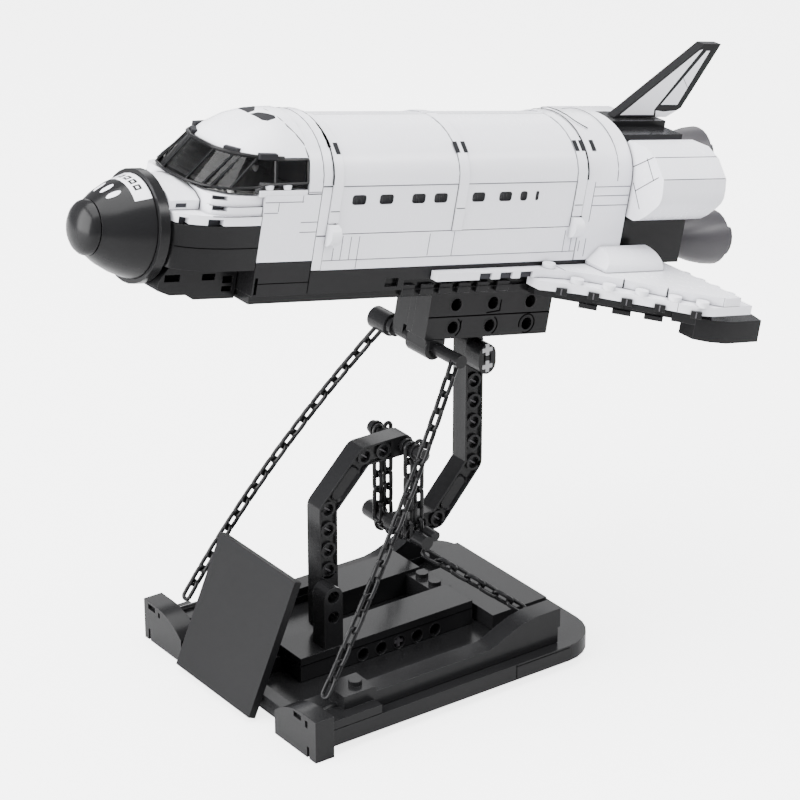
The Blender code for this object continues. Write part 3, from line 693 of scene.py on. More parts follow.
def fan(first, last, near, far):
    """A wedge about the cone's axis between two angles."""
    turns = [math.radians(first + (last - first) * step / 4) for step in range(5)]
    outer = [(FAN_OUT * math.cos(turn), NOSE_Z + FAN_OUT * math.sin(turn)) for turn in turns]
    inner = [(FAN_IN * math.cos(turn), NOSE_Z + FAN_IN * math.sin(turn)) for turn in reversed(turns)]
    return prism(outer + inner, "y", near, far)


def square(angle, wide, long):
    """A square bar through the top of the cone, turned to its angle."""
    near, far = SQUARE_Y - long / 2, SQUARE_Y + long / 2
    return about_nose(side_box(1, -wide / 2, wide / 2, near, far, NOSE_Z + 12.6, NOSE_Z + 20), angle)


def stretch(piece, amounts, centre):
    """Levels a piece, stretches it about a point, and hangs it back where it was."""
    settle(piece, LEVEL.inverted())
    bpy.ops.object.mode_set(mode="EDIT")
    bpy.ops.mesh.select_all(action="SELECT")
    bpy.ops.transform.resize(value=amounts, center_override=Vector(centre) * MM)
    bpy.ops.object.mode_set(mode="OBJECT")
    settle(piece, LEVEL)
    bpy.ops.object.shade_smooth_by_angle(angle=CREASE)


# the cap is nearly as wide as the cone's end, and flatter than a ball
stretch(skins["nose_cap"], CAP_STRETCH, (0, CAP_Y, NOSE_Z))
cone = skins["nose_cone"]
split(cone, [oval(angle) for angle in OVAL_ANGLES], "cone_ovals", WHITE)
patch = split(cone, [fan(48, 132, -155.6, -150.0)], "cone_patch", WHITE)
bars = [square(angle, 2.4, 2.4) for angle in SQUARE_ANGLES]
squares = split(patch, bars, "cone_squares", BLACK)
split(squares, [square(angle, 1.1, 0.9) for angle in SQUARE_ANGLES], "cone_dots", WHITE)

# %% Nose notches
COURSE_NOTCHES = ((21.4, -132.9, -128.2, 57.0, 58.4), (22.1, -132.9, -128.3, 53.6, 55.0),
                  (22.9, -134.8, -129.5, 48.5, 51.0), (19.3, -143.4, -140.6, 48.5, 51.0))
CHIN_NOTCHES = ((15.0, -143.6, -137.6, 27.9, 30.3), (15.0, -129.1, -124.0, 28.0, 30.2),
                (15.0, -120.9, -117.0, 26.8, 29.2), (15.0, -120.9, -117.0, 23.9, 25.7))
notches("course_notch_backs", skins["white_courses"], COURSE_NOTCHES, 2.2)
notches("hood_notch_backs", skins["nose_hood"], [(15.0, -143.2, -139.0, 52.9, 54.4)], 0.9)
notches("chin_notch_backs", skins["chin"], CHIN_NOTCHES, 1.2, DEEP)
notches("hull_slot_backs", skins["hull"], [(24.0, -114.4, -113.2, 25.2, 31.0)], 1.2, DEEP)

# %% Seams round the nose
CURVE_END = -122.0
COURSE_STEPS = 14
BROW = ((15, -134.2, 52.3), (15, -134.2, 55.3), (11.7, -134.2, 57.2), (6.5, -134.2, 58.5), (0, -134.2, 59.0))


def course_side(half_front, inset, front, y):
    """How far out the curved side of a nose course is at a place along it."""
    share = min(1.0, max(0.0, (CURVE_END - y) / abs(front - CURVE_END)))
    return half_front + (HALF - inset - half_front) * math.sqrt(1 - share * share)


def course_line(side, half_front, inset, front, z, first, last):
    """A line that follows the curved side of a nose course."""
    spots = [first + (last - first) * step / COURSE_STEPS for step in range(COURSE_STEPS + 1)]
    return [(side * course_side(half_front, inset, front, y), y, z) for y in spots]


lines = both(lambda side: [course_line(side, 15, 0, -145.7, 41.3, -145.4, -115.2)])
seams("nose_black_seams", lines, 0.15, DEEP)
lines = both(lambda side: [course_line(side, 19, 0.6, -133.8, 55.15, -133.6, -115.2),
                           course_line(side, 14, 0, -145.7, 52.05, -133.5, -115.2),
                           mirrored(side, BROW)])
seams("nose_white_seams", lines, 0.14)

# %% [markdown]
# ## The flight deck
#
# A smoked canopy covers a light console and two seats, so the windows look mottled, not flat
# black. Its moulding has thick rims along the roof and the sill and upright bars between the
# panes. Two dark panes are let into the roof, and white studs show under the side windows.

# %% Canopy bars
LOW_RIM = ((7.0, -135.6, 60.0), (14.0, -133.6, 60.2), (20.8, -127.4, 60.6), (23.0, -118.5, 61.5),
           (23.1, -115.5, 62.4), (23.1, -98.3, 62.7))
RIM_TOP = 70.1
TOP_SPOTS = ((7.0, -126.0), (14.0, -123.1), (19.0, -117.0), (21.2, -108.0), (21.4, -98.3))
HIGH_RIM = [(x, y, RIM_TOP) for x, y in TOP_SPOTS]
PILLARS = ((0, 0), (1, 1), (2, 2), (5, 4))
INNER_BARS = (((22.9, -111.1, 62.2), (21.2, -111.1, 69.8)), ((16.4, -131.6, 60.4), (15.6, -121.0, 69.6)))
pillars = [(LOW_RIM[low], HIGH_RIM[high]) for low, high in PILLARS]
bars = [both_sides(LOW_RIM), both_sides(HIGH_RIM)] + side_lines(pillars)
seams("canopy_bars", bars, 0.45, BLACK)
top_bar = [(x, y, RIM_TOP + 0.5) for x, y in TOP_SPOTS[:4]]
seams("canopy_top_rim", [both_sides(top_bar)], 0.7, BLACK)
seams("canopy_inner_bars", side_lines(INNER_BARS), 0.6, BLACK)

# %% Inside the canopy, and its sill
INSIDE = plastic("flight_deck_grey", (0.3, 0.3, 0.31), 0.4, tone=0.2)
console = [block((-11, -127, 59.0), (11, -121, 62.5), 0.3), block((-11, -124, 62.4), (11, -121, 64.2), 0.3)]
for x in (-8, 8):
    console += [block((x - 4, -112, 59.0), (x + 4, -104, 62.0), 0.4),
                block((x - 4, -106, 62.0), (x + 4, -104, 68.5), 0.4),
                pin((x, -124, 64.6), "z", 2.4, 1.6), pin((x, -108, 62.6), "z", 2.4, 1.6)]
console += both(lambda side: [block((side * 16 - 2, -120, 59.0), (side * 16 + 2, -113, 65.5), 0.4),
                              pin((side * 17, -116.5, 66), "z", 1.6, 3.0)])
finish(console, "flight_deck", INSIDE)
rests = both(lambda side: [pin((side * 21.1, y, 61.3), "z", 2.6, 1.9, 0.25, 28) for y in (-113.4, -106.3)])
rests += both(lambda side: [side_box(side, 20.0, 23.9, -117.4, -98.4, 58.4, 60.5, 0.12)])
finish(rests, "sill_studs", WHITE)

# %% Roof panes and clips
PANE_SPOTS = ((0.6, -109.4), (1.0, -106.6), (5.8, -103.2), (7.4, -103.7), (8.4, -107.4), (7.2, -109.0))
CLIP_Z = 71.0
ARC_STEPS = 20
ROOF_END = ((0.0, -102.9, 81.1), (4.0, -102.8, 80.9), (8.1, -102.4, 80.1), (11.7, -101.8, 78.8),
            (15.3, -100.2, 76.7), (17.8, -98.8, 74.6), (21.1, -98.2, 70.8))
panes = both(lambda side: [prism([(side * x, y) for x, y in PANE_SPOTS], "z", 74.0, 90.0)])
split(skins["cockpit_roof"], panes, "roof_panes", SEAM)


def roof_clip(side, x, y, long, turn):
    """A dark clip set across the roof's lower edge, turned to follow it."""
    clip = block((-1.0, -long / 2, -1.0), (1.0, long / 2, 1.0), 0.15)
    place = Matrix.Translation((side * x * MM, y * MM, CLIP_Z * MM))
    return settle(clip, place @ Matrix.Rotation(-side * math.radians(turn), 4, "Z"))


clips = both(lambda side: [roof_clip(side, 11.6, -122.2, 5.6, 61), roof_clip(side, 20.2, -113.8, 6.6, 8)])
finish(clips, "roof_clips", SEAM)


def roof_arc(y, half, rise, first=0.0):
    """A line over the shuttle's back from one side to the other."""
    turns = [math.radians(first + (180 - 2 * first) * step / ARC_STEPS) for step in range(ARC_STEPS + 1)]
    return [(half * math.cos(turn), y, CROWN_Z + rise * math.sin(turn)) for turn in turns]


seams("roof_end_seam", [both_sides(ROOF_END)], 0.22)

# %% [markdown]
# ## Brick seams along the body
#
# A stud-type toy shows every brick: fine dark lines where two of them meet, darker where the
# gap is open, fainter where the walls press together. They are drawn point to point on the
# surface and given a hair's thickness, sunk half into the plastic.

# %% Forward fuselage and front frame
FRAME_HALF = 24.3
FUSELAGE_LINES = (((-114.8, 56.6), (-99.7, 56.6)), ((-100.0, 58.8), (-100.0, 56.3)),
                  ((-109.3, 56.3), (-109.3, 53.4)), ((-114.8, 53.0), (-109.3, 53.0)),
                  ((-99.6, 49.6), (-93.0, 49.6)), ((-99.6, 46.2), (-93.0, 46.2)),
                  ((-98.0, 59.8), (-93.0, 59.8)))
seams("fuselage_seams", wall_lines(HALF, FUSELAGE_LINES), 0.12, FAINT)
lines = [((-92.5, z), (-89.0, z)) for z in (61.6, 44.7)]
seams("front_frame_seams", wall_lines(HALF, lines), 0.2)
seams("frame_arc", [roof_arc(-92.75, HALF, 19.5, 4)], 0.12, FAINT)
seams("door_front_arc", [roof_arc(-88.8, FRAME_HALF, 19.3, 2)], 0.24)
gap = both(lambda side: [[on_crown(side, angle, -88.9, 0.9) for angle in range(40, 76, 6)]])
seams("door_front_gap", gap, 0.5, DEEP)
# the slopes before the fin lie close on the crown, so what stands higher is cut off
over_crown = [on_crown(1, angle, 0, 0.5) for angle in range(35, 91, 5)]
over_crown += [on_crown(-1, angle, 0, 0.5) for angle in range(85, 34, -5)]
above = [(spot.x, spot.z) for spot in over_crown] + [(-30, 95), (30, 95)]
carve(skins["aft_frame"], [prism(above, "y", 20.5, 60.0)])

# %% Bay sides and knuckles
SIDE_LINES = ((-84.8, 40.3, 36.1), (-81.5, 44.6, 36.1), (-78.0, 44.1, 36.1), (-74.6, 44.2, 33.0),
              (-45.0, 44.3, 36.6), (-34.6, 44.7, 36.3), (15.0, 43.8, 35.8), (18.2, 41.2, 36.2))
REAR_LINES = ((22.0, 39.9, 36.1), (24.8, 40.7, 34.1))
HUMP_EDGE = ((0.6, 22.3, 80.9), (5.2, 22.5, 80.5), (9.0, 23.2, 79.5), (11.4, 24.6, 78.6), (13.1, 26.6, 77.7))
lines = [((y, high), (y, low)) for y, high, low in SIDE_LINES] + [((-88.5, 36.1), (20.3, 36.1))]
seams("bay_side_seams", wall_lines(HALF, lines), 0.12, FAINT)
lines = [((y, high), (y, low)) for y, high, low in REAR_LINES]
lines += [((24.8, z), (41.1, z)) for z in (59.5, 56.2, 52.7)] + [((24.7, 46.8), (24.7, 61.3))]
seams("aft_frame_seams", wall_lines(FRAME_HALF, lines), 0.13, FAINT)
seams("aft_frame_arc", [roof_arc(34.8, FRAME_HALF, 19.0)], 0.12, FAINT)
seams("door_rear_arc", [roof_arc(20.9, 24.35, 18.9, 2)], 0.16)
gap = both(lambda side: [[on_crown(side, angle, 20.9, 0.4) for angle in range(2, 54, 6)]])
seams("door_rear_gap", gap, 0.34)
seams("hump_line", [both_sides(HUMP_EDGE)], 0.2)
# Dark discs of painted shade stand for the holes in the hinge knuckles.
holes = both(lambda side: [pin((side * 24.2, y, 48.5), "x", 0.75, 0.8) for y in (-86.0, 20.4)])
finish(holes, "knuckle_holes", DEEP)

# %% Rib lines on the doors
DOOR_FOOT = 45.6
for side, name in SIDES:
    lines = []
    for start in RIB_STARTS:
        for y in (start + RIB_WIDE + 0.1, start - 0.1):
            if -88 < y < 20:
                over = [on_crown(side, angle, y) for angle in range(0, 90, 9)]
                lines.append([(side * HALF, y, DOOR_FOOT)] + over)
    for first, last in ((-84.3, -36.4), (-31.8, 16.2)):
        lines.append([(side * HALF, first, CROWN_Z), (side * HALF, last, CROWN_Z)])
    seams("door_lines_" + name, lines, 0.13, FAINT, body="door_" + name)

# %% [markdown]
# ## The tail
#
# The pods at the tail are built of stacked curved slopes, and the fin is one printed piece:
# white panels framed by black bands along its leading edge, its tip and its rudder.

# %% Rounded pods and their seams
POD_OUTLINE = ((16.5, 50.0), (24.5, 48.2), (28.2, 47.9), (31.0, 48.9), (34.2, 51.2), (37.8, 54.7),
               (39.7, 56.9), (40.6, 59.2), (40.6, 62.0), (40.0, 66.0), (34.5, 71.8), (28.0, 74.8),
               (19.0, 74.8), (16.5, 72.6))
POD_FRONT = 41.9
POD_REAR = 71.8
POD_CREASE = math.radians(30)
FACE_LINES = (((32.7, 72.4), (23.4, 66.4)), ((37.1, 66.3), (26.5, 58.4)), ((29.6, 71.1), (34.8, 64.6)),
              ((24.9, 60.9), (30.3, 52.8)))
for side, name in SIDES:
    bpy.data.objects.remove(skins["pod_" + name], do_unlink=True)
    pod = prism([(side * x, z) for x, z in POD_OUTLINE], "y", POD_FRONT, POD_REAR)
    shell = finish([pod], "pod_" + name + "_shell", WHITE, crease=POD_CREASE)
    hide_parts("pod_" + name)
lines = [((x, POD_FRONT + 0.2, z), (x, POD_REAR - 0.2, z)) for x, z in ((33.2, 72.4), (39.8, 66.2))]
lines += [[(x, POD_FRONT, z) for x, z in line] for line in FACE_LINES]
seams("pod_seams", side_lines(lines), 0.16)

# %% Bell collars and the step under the fin
COLLAR_HALF = 5.2
BELL_CLEAR = 12
BELLS = (("port", 12.5, 35.8, 99.8, 3.2), ("starboard", -12.5, 35.8, 99.8, 3.2),
         ("top", 0.0, 64.0, 94.6, 2.5))
for name, x, z, rear, deep in BELLS:
    collar = (x - BELL_CLEAR, x + BELL_CLEAR, rear - deep, rear + 1)
    carve(skins["main_bell_" + name], [side_box(1, *collar, z + COLLAR_HALF, z + BELL_CLEAR),
                                       side_box(1, *collar, z - BELL_CLEAR, z - COLLAR_HALF)])
carve(skins["tail_body"], [side_box(1, -17, 17, 69.5, 80.0, 70.5, 78.5)])
finish([pin((0, 72.6, 65.2), "y", 6.0, 9.0, 0.4, 24)], "top_bell_throat", GREY)

# %% Fin panels
PANEL_FRONT = ((50.6, 79.4), (66.8, 79.4), (66.6, 81.4), (85.0, 103.9), (83.4, 103.5))
PANEL_RUDDER = ((69.4, 83.2), (77.4, 83.2), (88.6, 103.4), (86.9, 103.4))
PANEL_FOOT = ((67.8, 78.4), (73.2, 78.4), (78.6, 81.2), (71.2, 80.6), (67.5, 81.1))
fin = skins["fin"]
panels = [prism(points, "x", -4, 4) for points in (PANEL_FRONT, PANEL_RUDDER, PANEL_FOOT)]
bands = split(fin, panels, "fin_bands", BLACK)
# the panels came out as the new piece, so the two trade meshes: the fin keeps the white
fin.data, bands.data = bands.data, fin.data
fin.data.materials[0], bands.data.materials[0] = WHITE, BLACK
seams("fin_seam", [[(x, 77.9, 93.3), (x, 80.8, 89.7)] for x in (-2, 2)], 0.1, FAINT)

# %% [markdown]
# ## The wings
#
# Each wing is two layers of plates over a black one. Bricks meet along its leading edge with
# open joints, black clips grip the lower plate from below, and the black layer's edge is
# stepped. The long strake ahead of the wing has three slots.

# %% Wing joints, clips and steps
LEADING = Vector((0.67, 0.743, 0.0))
OUTWARD = Vector((0.743, -0.67, 0.0))
EDGE_TURN = math.atan2(LEADING.y, LEADING.x)
CLIPS = ((35.2, 8.1), (41.6, 17.5), (49.4, 26.2), (57.3, 34.8), (66.4, 43.9))
STEPS = ((38.4, 18.6), (46.2, 27.6), (53.6, 36.2))
JOINTS = ((43.4, 28.8), (55.0, 39.3), (68.1, 54.4))
FINE_JOINTS = (((43.4, 28.8, 31.3), (42.4, 29.7, 31.3)), ((55.0, 39.3, 31.3), (54.1, 40.2, 31.3)),
               ((24.4, 12.1, 31.3), (30.8, 12.1, 31.3)), ((61.6, 39.2, 28.1), (61.6, 39.2, 25.0)))
STRAKE_SLOTS = ((-23.6, -18.2), (-14.5, -9.1), (-5.6, -0.1))


def beside_edge(side, x, y, z, long, deep, tall, out=0.0):
    """A block laid along the wing's leading edge, about a point and moved out from it."""
    piece = block((-long / 2, -deep / 2, -tall / 2), (long / 2, deep / 2, tall / 2), 0.12)
    spot = Vector((x, y, z)) + OUTWARD * out
    place = Matrix.Translation((side * spot.x * MM, spot.y * MM, spot.z * MM))
    turn = EDGE_TURN if side > 0 else math.pi - EDGE_TURN
    return settle(piece, place @ Matrix.Rotation(turn, 4, "Z"))


def edge_blocks(spots, *sizes):
    """Like blocks along the leading edges of both wings."""
    return both(lambda side: [beside_edge(side, x, y, *sizes) for x, y in spots])


finish(edge_blocks(CLIPS, 25.2, 3.9, 1.6, 2.6, 0.1), "wing_clips", BLACK)
finish(edge_blocks(CLIPS, 25.2, 0.5, 1.4, 2.2, 0.35), "clip_posts", GREY)
steps = edge_blocks(STEPS, 20.4, 6.6, 3.4, 1.7, -0.6)
steps += edge_blocks([(59.6, 44.8)], 22.5, 8.5, 5.0, 3.8, 0.0)
steps += edge_blocks([(43.2, 23.0), (51.0, 32.0)], 23.6, 11.0, 1.2, 1.9, 1.9)
finish(steps, "wing_steps", BLACK)
seams("wing_joints", side_lines([((x, y, 31.3), (x, y, 28.2)) for x, y in JOINTS]), 0.28)
seams("wing_fine_joints", side_lines(FINE_JOINTS), 0.13)

# %% Strake slots and stud
for side, name in SIDES:
    cutters = [side_box(side, 26.6, 30, *slot, 28.0, 30.6) for slot in STRAKE_SLOTS]
    carve(skins["wing_upper_" + name], cutters)
# The dark plates at the slots' backs are painted shade.
backs = both(lambda side: [side_box(side, 26.5, 27.0, *slot, 28.35, 30.6) for slot in STRAKE_SLOTS])
finish(backs, "strake_slot_backs", NOTCH_SHADE)
studs = both(lambda side: [pin((side * 26.4, 8.0, 32.1), "z", 2.4, 1.8, 0.25, 28)])
finish(studs, "strake_studs", WHITE)

# %% [markdown]
# ## The belly and its bracket
#
# Under each strake the black hull is open along a row of studs, with a lip below. The bracket
# that carries the shuttle is two stacked beams with round holes, each hole in a shallow rim.

# %% Hull side recess
TEETH = (-47.5, -39.3, -31.2, -23.1, -14.9, -6.0)
HULL_LINES = (((-114.6, 28.9), (-93.0, 28.9)), ((-92.85, 25.0), (-92.85, 36.0)))
carve(skins["hull"], both(lambda side: [side_box(side, 22.3, 26, -53.0, 4.0, 24.7, 28.2),
                                        side_box(side, 22.3, 26, -61.0, -55.4, 26.0, 29.0)]))
teeth = both(lambda side: [side_box(side, 22.2, 23.7, end - 5.6, end, 22.3, 26.2, 0.2) for end in TEETH])
finish(teeth, "hull_studs", BLACK)
seams("hull_seams", wall_lines(HALF, HULL_LINES), 0.15, DEEP)

# %% Bracket rims and seams
BRACKET_FACE = 12
HOLE_LOW_Z = 5.6
HOLE_HIGH_Z = 14.0
HOLES_Y = (-18.5, -2.0, 15.0)
HOLE_ARC = 3.5
HOLE_STEPS = 18


def hole_arc(y, first, last):
    """Part of the line round a lower hole, angle 0 towards the tail and 90 upwards."""
    turns = [math.radians(first + (last - first) * step / HOLE_STEPS) for step in range(HOLE_STEPS + 1)]
    return [(y + HOLE_ARC * math.cos(turn), HOLE_LOW_Z + HOLE_ARC * math.sin(turn)) for turn in turns]


# The arcs round the lower holes are painted shade in their counterbores; the long line is the seam between
# the beams.
lines = [((-29.8, 9.6), (24.8, 9.6)), hole_arc(15.0, -110, 200), hole_arc(-18.5, -60, 60),
         hole_arc(-2.0, -60, 60), ((-15.0, 8.0), (-15.2, 5.6)), ((1.6, 11.0), (-4.2, 10.4)),
         ((1.6, 11.0), (1.6, 15.0))]
lines = [[(BRACKET_FACE, y, z) for y, z in line] for line in lines]
seams("bracket_lines", lines, 0.24, DEEP)
lug = [block((0.5, -29.9, 1.6), (4.2, -25.8, 21.0), 0.2), block((-1.2, -28.4, -3.6), (11.7, -19.6, 2.2), 1.2),
       pin((5.2, -24.3, -2.4), "x", 4.1, 12.6, 0.4), pin((-20.2, -23.5, -2.3), "x", 4.2, 10.5, 0.4, 24)]
finish(lug, "rod_lug", BLACK)
rims = [ring((11.6, y, z), "x", 2.75, 0.45, 1.0) for y in HOLES_Y for z in (HOLE_LOW_Z, HOLE_HIGH_Z)]
finish(rims, "bracket_rims", BLACK)

# %% [markdown]
# ## The hooked arms
#
# Both arms are lift-arms: the side has a channel between two rails, with a round eye every
# eight millimetres and one long eye along the slanting part. Cross-shaped axle ends in light
# grey show where the shuttle's arm is pinned to the bracket.

# %% Channels and eyes
ARM_FACE = 7.9
RAIL = 0.7
ARM_WIDE = 7.6
CHANNEL_DEEP = 1.0
EYE_OUT = 3.1
EYE_IN = 2.2
GLINT_SLANT = math.radians(52)


def laid(piece, start, end):
    """Lays a shape built along Y from the origin between two points of the Y-Z plane."""
    turn = Matrix.Rotation(math.atan2(end[1] - start[1], end[0] - start[0]), 4, "X")
    return settle(piece, Matrix.Translation((0, start[0] * MM, start[1] * MM)) @ turn)


def channel(start, end):
    """A cutter for the channel of one straight part of an arm."""
    half = ARM_WIDE / 2 - RAIL
    long = math.dist(start, end)
    return laid(side_box(1, ARM_FACE - CHANNEL_DEEP, ARM_FACE + 2, 0, long, -half, half), start, end)


def long_eye(start, end):
    """The long eye: a rounded bar with its face inset and pressed in."""
    half = EYE_OUT - 0.25
    long = math.dist(start, end)
    body = side_box(1, ARM_FACE - CHANNEL_DEEP - 0.1, ARM_FACE, -half, long + half, -half, half)
    pick_edges(body, lambda way: abs(way.x) > 0.9)
    bpy.ops.mesh.bevel(offset=0.98 * half * MM, segments=5, affect="EDGES")
    bpy.ops.object.mode_set(mode="OBJECT")
    pick_faces(body, lambda side: side.normal.x > 0.9)
    bpy.ops.mesh.inset(thickness=0.7 * MM)
    bpy.ops.transform.translate(value=(-0.8 * MM, 0, 0))
    bpy.ops.object.mode_set(mode="OBJECT")
    return laid(body, start, end)


def along(start, end, distance):
    """A point some way along a line in the Y-Z plane."""
    share = distance / math.dist(start, end)
    return tuple(a + (b - a) * share for a, b in zip(start, end))


def glint(y, z):
    """A slanting grey bar inside an eye: a painted glint of light on the hole's inner wall."""
    glint_bar = block((ARM_FACE - 1.7, -0.3, -1.9), (ARM_FACE - 1.0, 0.3, 1.9), 0.1)
    return settle(glint_bar, Matrix.Translation((0, y * MM, z * MM)) @ Matrix.Rotation(GLINT_SLANT, 4, "X"))


def dress_arm(name, path, eyes, slanted):
    """Channels, eyes and holes on the port face of one arm."""
    arm = skins[name]
    for start, end in zip(path, path[1:]):
        carve(arm, [channel(start, end)], False)
    carve(arm, [pin((ARM_FACE - 2, y, z), "x", EYE_IN, 6, 0.1, 24) for y, z in eyes], False)
    made = [ring((ARM_FACE - 0.55, y, z), "x", EYE_OUT, EYE_OUT - EYE_IN, 1.1) for y, z in eyes]
    made.append(long_eye(along(*slanted, 6.6), along(*slanted, 15.4)))
    finish(made, name + "_eyes", BLACK, level=False)
    floors = [pin((ARM_FACE - 1.9, y, z), "x", EYE_IN + 0.2, 0.6, 0.1) for y, z in eyes]
    finish(floors, name + "_eye_floors", BLACK, level=False)
    finish([glint(y, z) for y, z in eyes], name + "_eye_glints", GREY, level=False)


BASE_PATH = ((-25.0, 40.5), (-25.0, 66.4), (-9.0, 82.7), (2.5, 82.7))
BASE_EYES = [(-25.0, z) for z in (42.4, 50.4, 58.4, 66.4)] + [(-9.0, 82.7), (-1.0, 82.7)]
dress_arm("base_arm", BASE_PATH, BASE_EYES, BASE_PATH[1:3])
HUNG_PATH = ((39.0, 106.0), (39.0, 67.2), (23.0, 49.2), (13.5, 49.2))
HUNG_EYES = [(39.0, z) for z in (99.5, 91.4, 83.3, 75.2, 67.2)] + [(23.0, 49.2), (15.4, 49.2)]
dress_arm("shuttle_arm", HUNG_PATH, HUNG_EYES, HUNG_PATH[2:0:-1])

# %% Axle ends in the connector
CROSS_LONG = 4.4
CROSS_WIDE = 1.6
CONNECTOR_FACE = 15.9
CONNECTOR_Y = 38.6


def cross(y, z):
    """The end of a cross axle: two bars at right angles, one a hair prouder."""
    back = CONNECTOR_FACE - 0.5
    return [block((back, y - CROSS_LONG / 2, z - CROSS_WIDE / 2),
                  (CONNECTOR_FACE + 0.15, y + CROSS_LONG / 2, z + CROSS_WIDE / 2), 0.1),
            block((back, y - CROSS_WIDE / 2, z - CROSS_LONG / 2),
                  (CONNECTOR_FACE + 0.1, y + CROSS_WIDE / 2, z + CROSS_LONG / 2), 0.1)]


crosses = cross(CONNECTOR_Y, 114.6) + cross(CONNECTOR_Y, 108.2)
finish(crosses, "axle_ends", PIN_GREY, level=False)
# Thin dark bars of painted shade stand for the slots between the axle ends.
between = [block((CONNECTOR_FACE - 0.5, y - 0.35, 109.9), (CONNECTOR_FACE + 0.05, y + 0.35, 112.9), 0.04)
           for y in (CONNECTOR_Y - 1.2, CONNECTOR_Y + 1.2)]
finish(between, "connector_slots", DEEP, level=False)

# %% Axle sleeves and collars
AXLE_Y = 8.0
AXLE_UP_Z = 82.7
AXLE_LOW_Z = 49.2
SLEEVE_X = 14
SLEEVE_THIN = 0.76
pick_faces(skins["lower_axle"], lambda face: face.calc_center_median().x > SLEEVE_X * MM)
bpy.ops.transform.resize(value=(1, SLEEVE_THIN, SLEEVE_THIN),
                         center_override=(20 * MM, AXLE_Y * MM, AXLE_LOW_Z * MM))
bpy.ops.object.mode_set(mode="OBJECT")
finish([pin((19.0, 11.8, 50.8), "x", 1.9, 6.0)], "rear_pin", BLACK, level=False)
collars = [ring((x, AXLE_Y, AXLE_UP_Z), "x", 3.0, 0.9, 1.2) for x in (9.6, 12.4, 15.2, -9.4)]
collars += [ring((x, AXLE_Y, AXLE_LOW_Z), "x", 3.2, 1.0, 1.0) for x in (-10.0, -7.4, 0.2, 10.6, 12.8)]
finish(collars, "axle_collars", BLACK, level=False)

# %% [markdown]
# ## The chains
#
# Each link is a ring pulled long, turned an eighth one way about the run and the next one an
# eighth the other way, so that they cross. One link is modelled and copied along each run. The
# front chains bow out sideways a little on their way down, and the others are straight.

# %% Chain links
WIRE = 0.76
LINK_END = 1.7
LINK_PULL = 2.1
CHAIN_PITCH = 6.2
LINK_TURN = math.radians(45)
FRONT_BOW = {1: 2.5, -1: -5.0}
FLAT_WAY = (0.8, -0.56, 0.4)
ROD_Y = -23.5
ROD_Z = -2.3
DECK_TOP = 16.0


def make_link():
    """A ring whose two halves are pulled apart into a long link."""
    bpy.ops.mesh.primitive_torus_add(major_segments=20, minor_segments=8, major_radius=LINK_END * MM,
                                     minor_radius=WIRE * MM)
    link = bpy.context.object
    for way in (1, -1):
        only(link)
        bpy.ops.object.mode_set(mode="EDIT")
        bpy.ops.mesh.select_mode(type="VERT")
        bpy.ops.mesh.select_all(action="DESELECT")
        shape = bmesh.from_edit_mesh(link.data)
        for vert in shape.verts:
            vert.select_set(vert.co.x * way > 0.1 * MM)
        bmesh.update_edit_mesh(link.data)
        bpy.ops.transform.translate(value=(way * LINK_PULL * MM, 0, 0))
        bpy.ops.object.mode_set(mode="OBJECT")
    return link


pattern = make_link()


def bowed(start, end, share, bow):
    """A point on a run that bows out sideways, most at its middle."""
    return start.lerp(end, share) + Vector((4 * bow * share * (1 - share), 0, 0))


def run_of_links(start, end, bow):
    """Links along a run, each second one turned the other way about it."""
    start, end, flat = Vector(start), Vector(end), Vector(FLAT_WAY)
    count = round((end - start).length / CHAIN_PITCH)
    spots = [bowed(start, end, i / count, bow) for i in range(count + 1)]
    made = []
    for i in range(count):
        way = (spots[i + 1] - spots[i]).normalized()
        face = (flat - way * flat.dot(way)).normalized()
        face = Matrix.Rotation(LINK_TURN if i % 2 else -LINK_TURN, 3, way) @ face
        middle = (spots[i] + spots[i + 1]) / 2 * MM
        turn = Matrix((way, face.cross(way), face)).transposed().to_4x4()
        made.append(settle(duplicate(pattern, pattern.name), Matrix.Translation(middle) @ turn))
    return made


def hang_chain(name, runs):
    """One chain of one or two runs, standing for its solid."""
    links = [link for run in runs for link in run_of_links(*run)]
    whole = finish(links, "links_" + name, BLACK, level=False, crease=math.radians(60))
    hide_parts(name)


for side, name in SIDES:
    hook_z = ROD_Z - (0.2 if side == 1 else 3.4)
    top = LEVEL @ (Vector((side * 22.5, ROD_Y, hook_z)) * MM) / MM
    hang_chain("front_chain_" + name, [(top, (side * 45.0, -52.5, DECK_TOP + 1.7), FRONT_BOW[side])])
    foot = (39.2, 38.5, 20.5) if side == 1 else (-32.0, 40.0, 20.0)
    hang_chain("rear_chain_" + name, [((4.0 + side * 15.0, 9.0, 44.0), foot, 0.0)])
    x = 4.0 + side * 9.5
    hang_chain("middle_chain_" + name, [((x, y, 85.0), (x, y, 48.5), 0.0) for y in (5.8, 10.2)])
bpy.data.objects.remove(pattern, do_unlink=True)

# %% [markdown]
# ## The base
#
# The base is black bricks too. Its front blocks have slots where plates clip in, its beam has
# a cross axle in the middle hole, and fine seams part the bricks. The leaning sign is left
# blank.

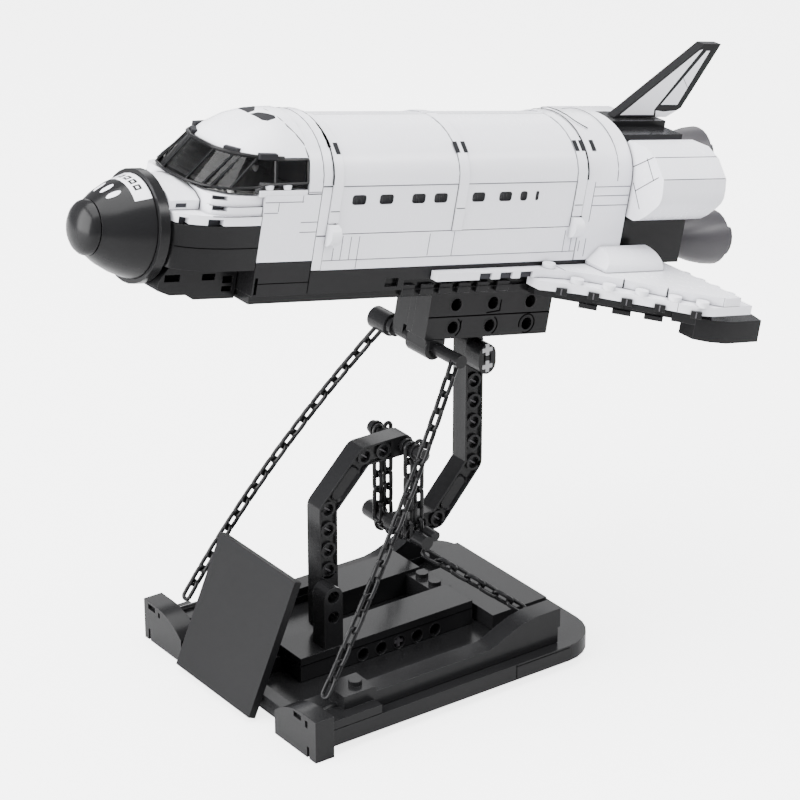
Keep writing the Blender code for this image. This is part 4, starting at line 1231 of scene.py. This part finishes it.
# %% Base slots, seams and axle
WALL_SLOTS = ((-53.0, -48.2, -66, -62.6, 13.0, 15.1), (-46.2, -44.9, -66, -63.2, 12.2, 14.2),
              (-53.3, -52.1, -66, -63.0, -1.0, 4.7), (42.6, 47.2, -66, -62.6, 12.7, 14.7),
              (49.6, 51.2, -66, -63.2, 11.6, 14.2), (50.6, 51.9, -66, -63.0, -1.0, 4.4))
BASE_LINES = [[(54.6, 23.9, 3.4), (54.6, 23.9, 9.3)], [(54.6, 24.0, 8.6), (54.6, 47.9, 8.6)],
              [(0.2, -42.9, 12.9), (0.2, 32.9, 12.9)], [(16, -42.9, 12.9), (16, 32.9, 12.9)]]
carve(skins["front_wall"], [side_box(1, *slot) for slot in WALL_SLOTS], False)
seams("base_seams", BASE_LINES, 0.16, DEEP, level=False)
beam_eyes = [ring((15.9, y, 9.2), "x", 2.9, 0.5, 0.5) for y in (-16, -8, 0, 8, 16)]
finish(beam_eyes, "beam_rims", BLACK, level=False)
cross_bars = [block((14.6, -2.2, 8.5), (15.4, 2.2, 9.9), 0.1),
              block((14.6, -0.7, 7.0), (15.35, 0.7, 11.4), 0.1)]
finish(cross_bars, "beam_axle", GREY, level=False)

# %% [markdown]
# ## Floor and lights
#
# The toy stands on a white sweep that runs out of sight. A white room lights it evenly from
# all round, a wide lamp overhead makes the tops bright and the shadow soft, and another from
# the front left lights the nose and the sides. Two weak ones put a sheen on the deck and a
# bright strip along the crown. The floor glows for the camera alone, which makes it white
# without lighting the toy from below.

# %% Floor, room and lamps
FLOOR_GLOW = 3.4
bpy.ops.mesh.primitive_plane_add(size=8.0, location=(0, 0, 0))
floor = bpy.context.object
floor.name = "floor"
paper = bpy.data.materials.new("floor_paper")
paper.use_nodes = True
paper_shader = paper.node_tree.nodes["Principled BSDF"]
grain = node(paper.node_tree, "TexNoise", {"Scale": 60.0, "Detail": 2.0})
shade = node(paper.node_tree, "MapRange", {"Value": grain.outputs["Fac"], "To Min": 0.6, "To Max": 0.7})
paper.node_tree.links.new(shade.outputs[0], paper_shader.inputs["Roughness"])
paper_shader.inputs["Base Color"].default_value = (0.65, 0.65, 0.65, 1.0)
paper_shader.inputs["Emission Color"].default_value = (1.0, 1.0, 1.0, 1.0)
seen = node(paper.node_tree, "LightPath").outputs["Is Camera Ray"]
glow = node(paper.node_tree, "Math", {0: seen, 1: FLOOR_GLOW}, operation="MULTIPLY")
paper.node_tree.links.new(glow.outputs[0], paper_shader.inputs["Emission Strength"])
floor.data.materials.append(paper)

room = bpy.data.worlds.new("white room")
room.use_nodes = True
walls = room.node_tree.nodes["Background"]
walls.inputs["Color"].default_value = (0.94, 0.95, 1.0, 1.0)
walls.inputs["Strength"].default_value = 0.5
bpy.context.scene.world = room

LAMPS = (("overhead", (0.0, 0.0, 1.4), 56.0, 1.5, 1.5), ("front_left", (-0.25, -1.4, 0.75), 95.0, 1.5, 1.5),
         ("deck_sheen", (-1.0, 0.75, 0.66), 3.5, 0.9, 0.5),
         ("crown_strip", (0.95, 0.85, 1.05), 15.0, 1.0, 0.28))
TOY_MIDDLE = Vector((0, 0, 0.12))
for name, place, power, wide, tall in LAMPS:
    lamp_data = bpy.data.lights.new(name, "AREA")
    lamp_data.shape = "RECTANGLE"
    lamp_data.energy = power
    lamp_data.size = wide
    lamp_data.size_y = tall
    lamp = bpy.data.objects.new(name, lamp_data)
    lamp.location = place
    lamp.rotation_euler = (TOY_MIDDLE - Vector(place)).to_track_quat("-Z", "Y").to_euler()
    bpy.context.scene.collection.objects.link(lamp)
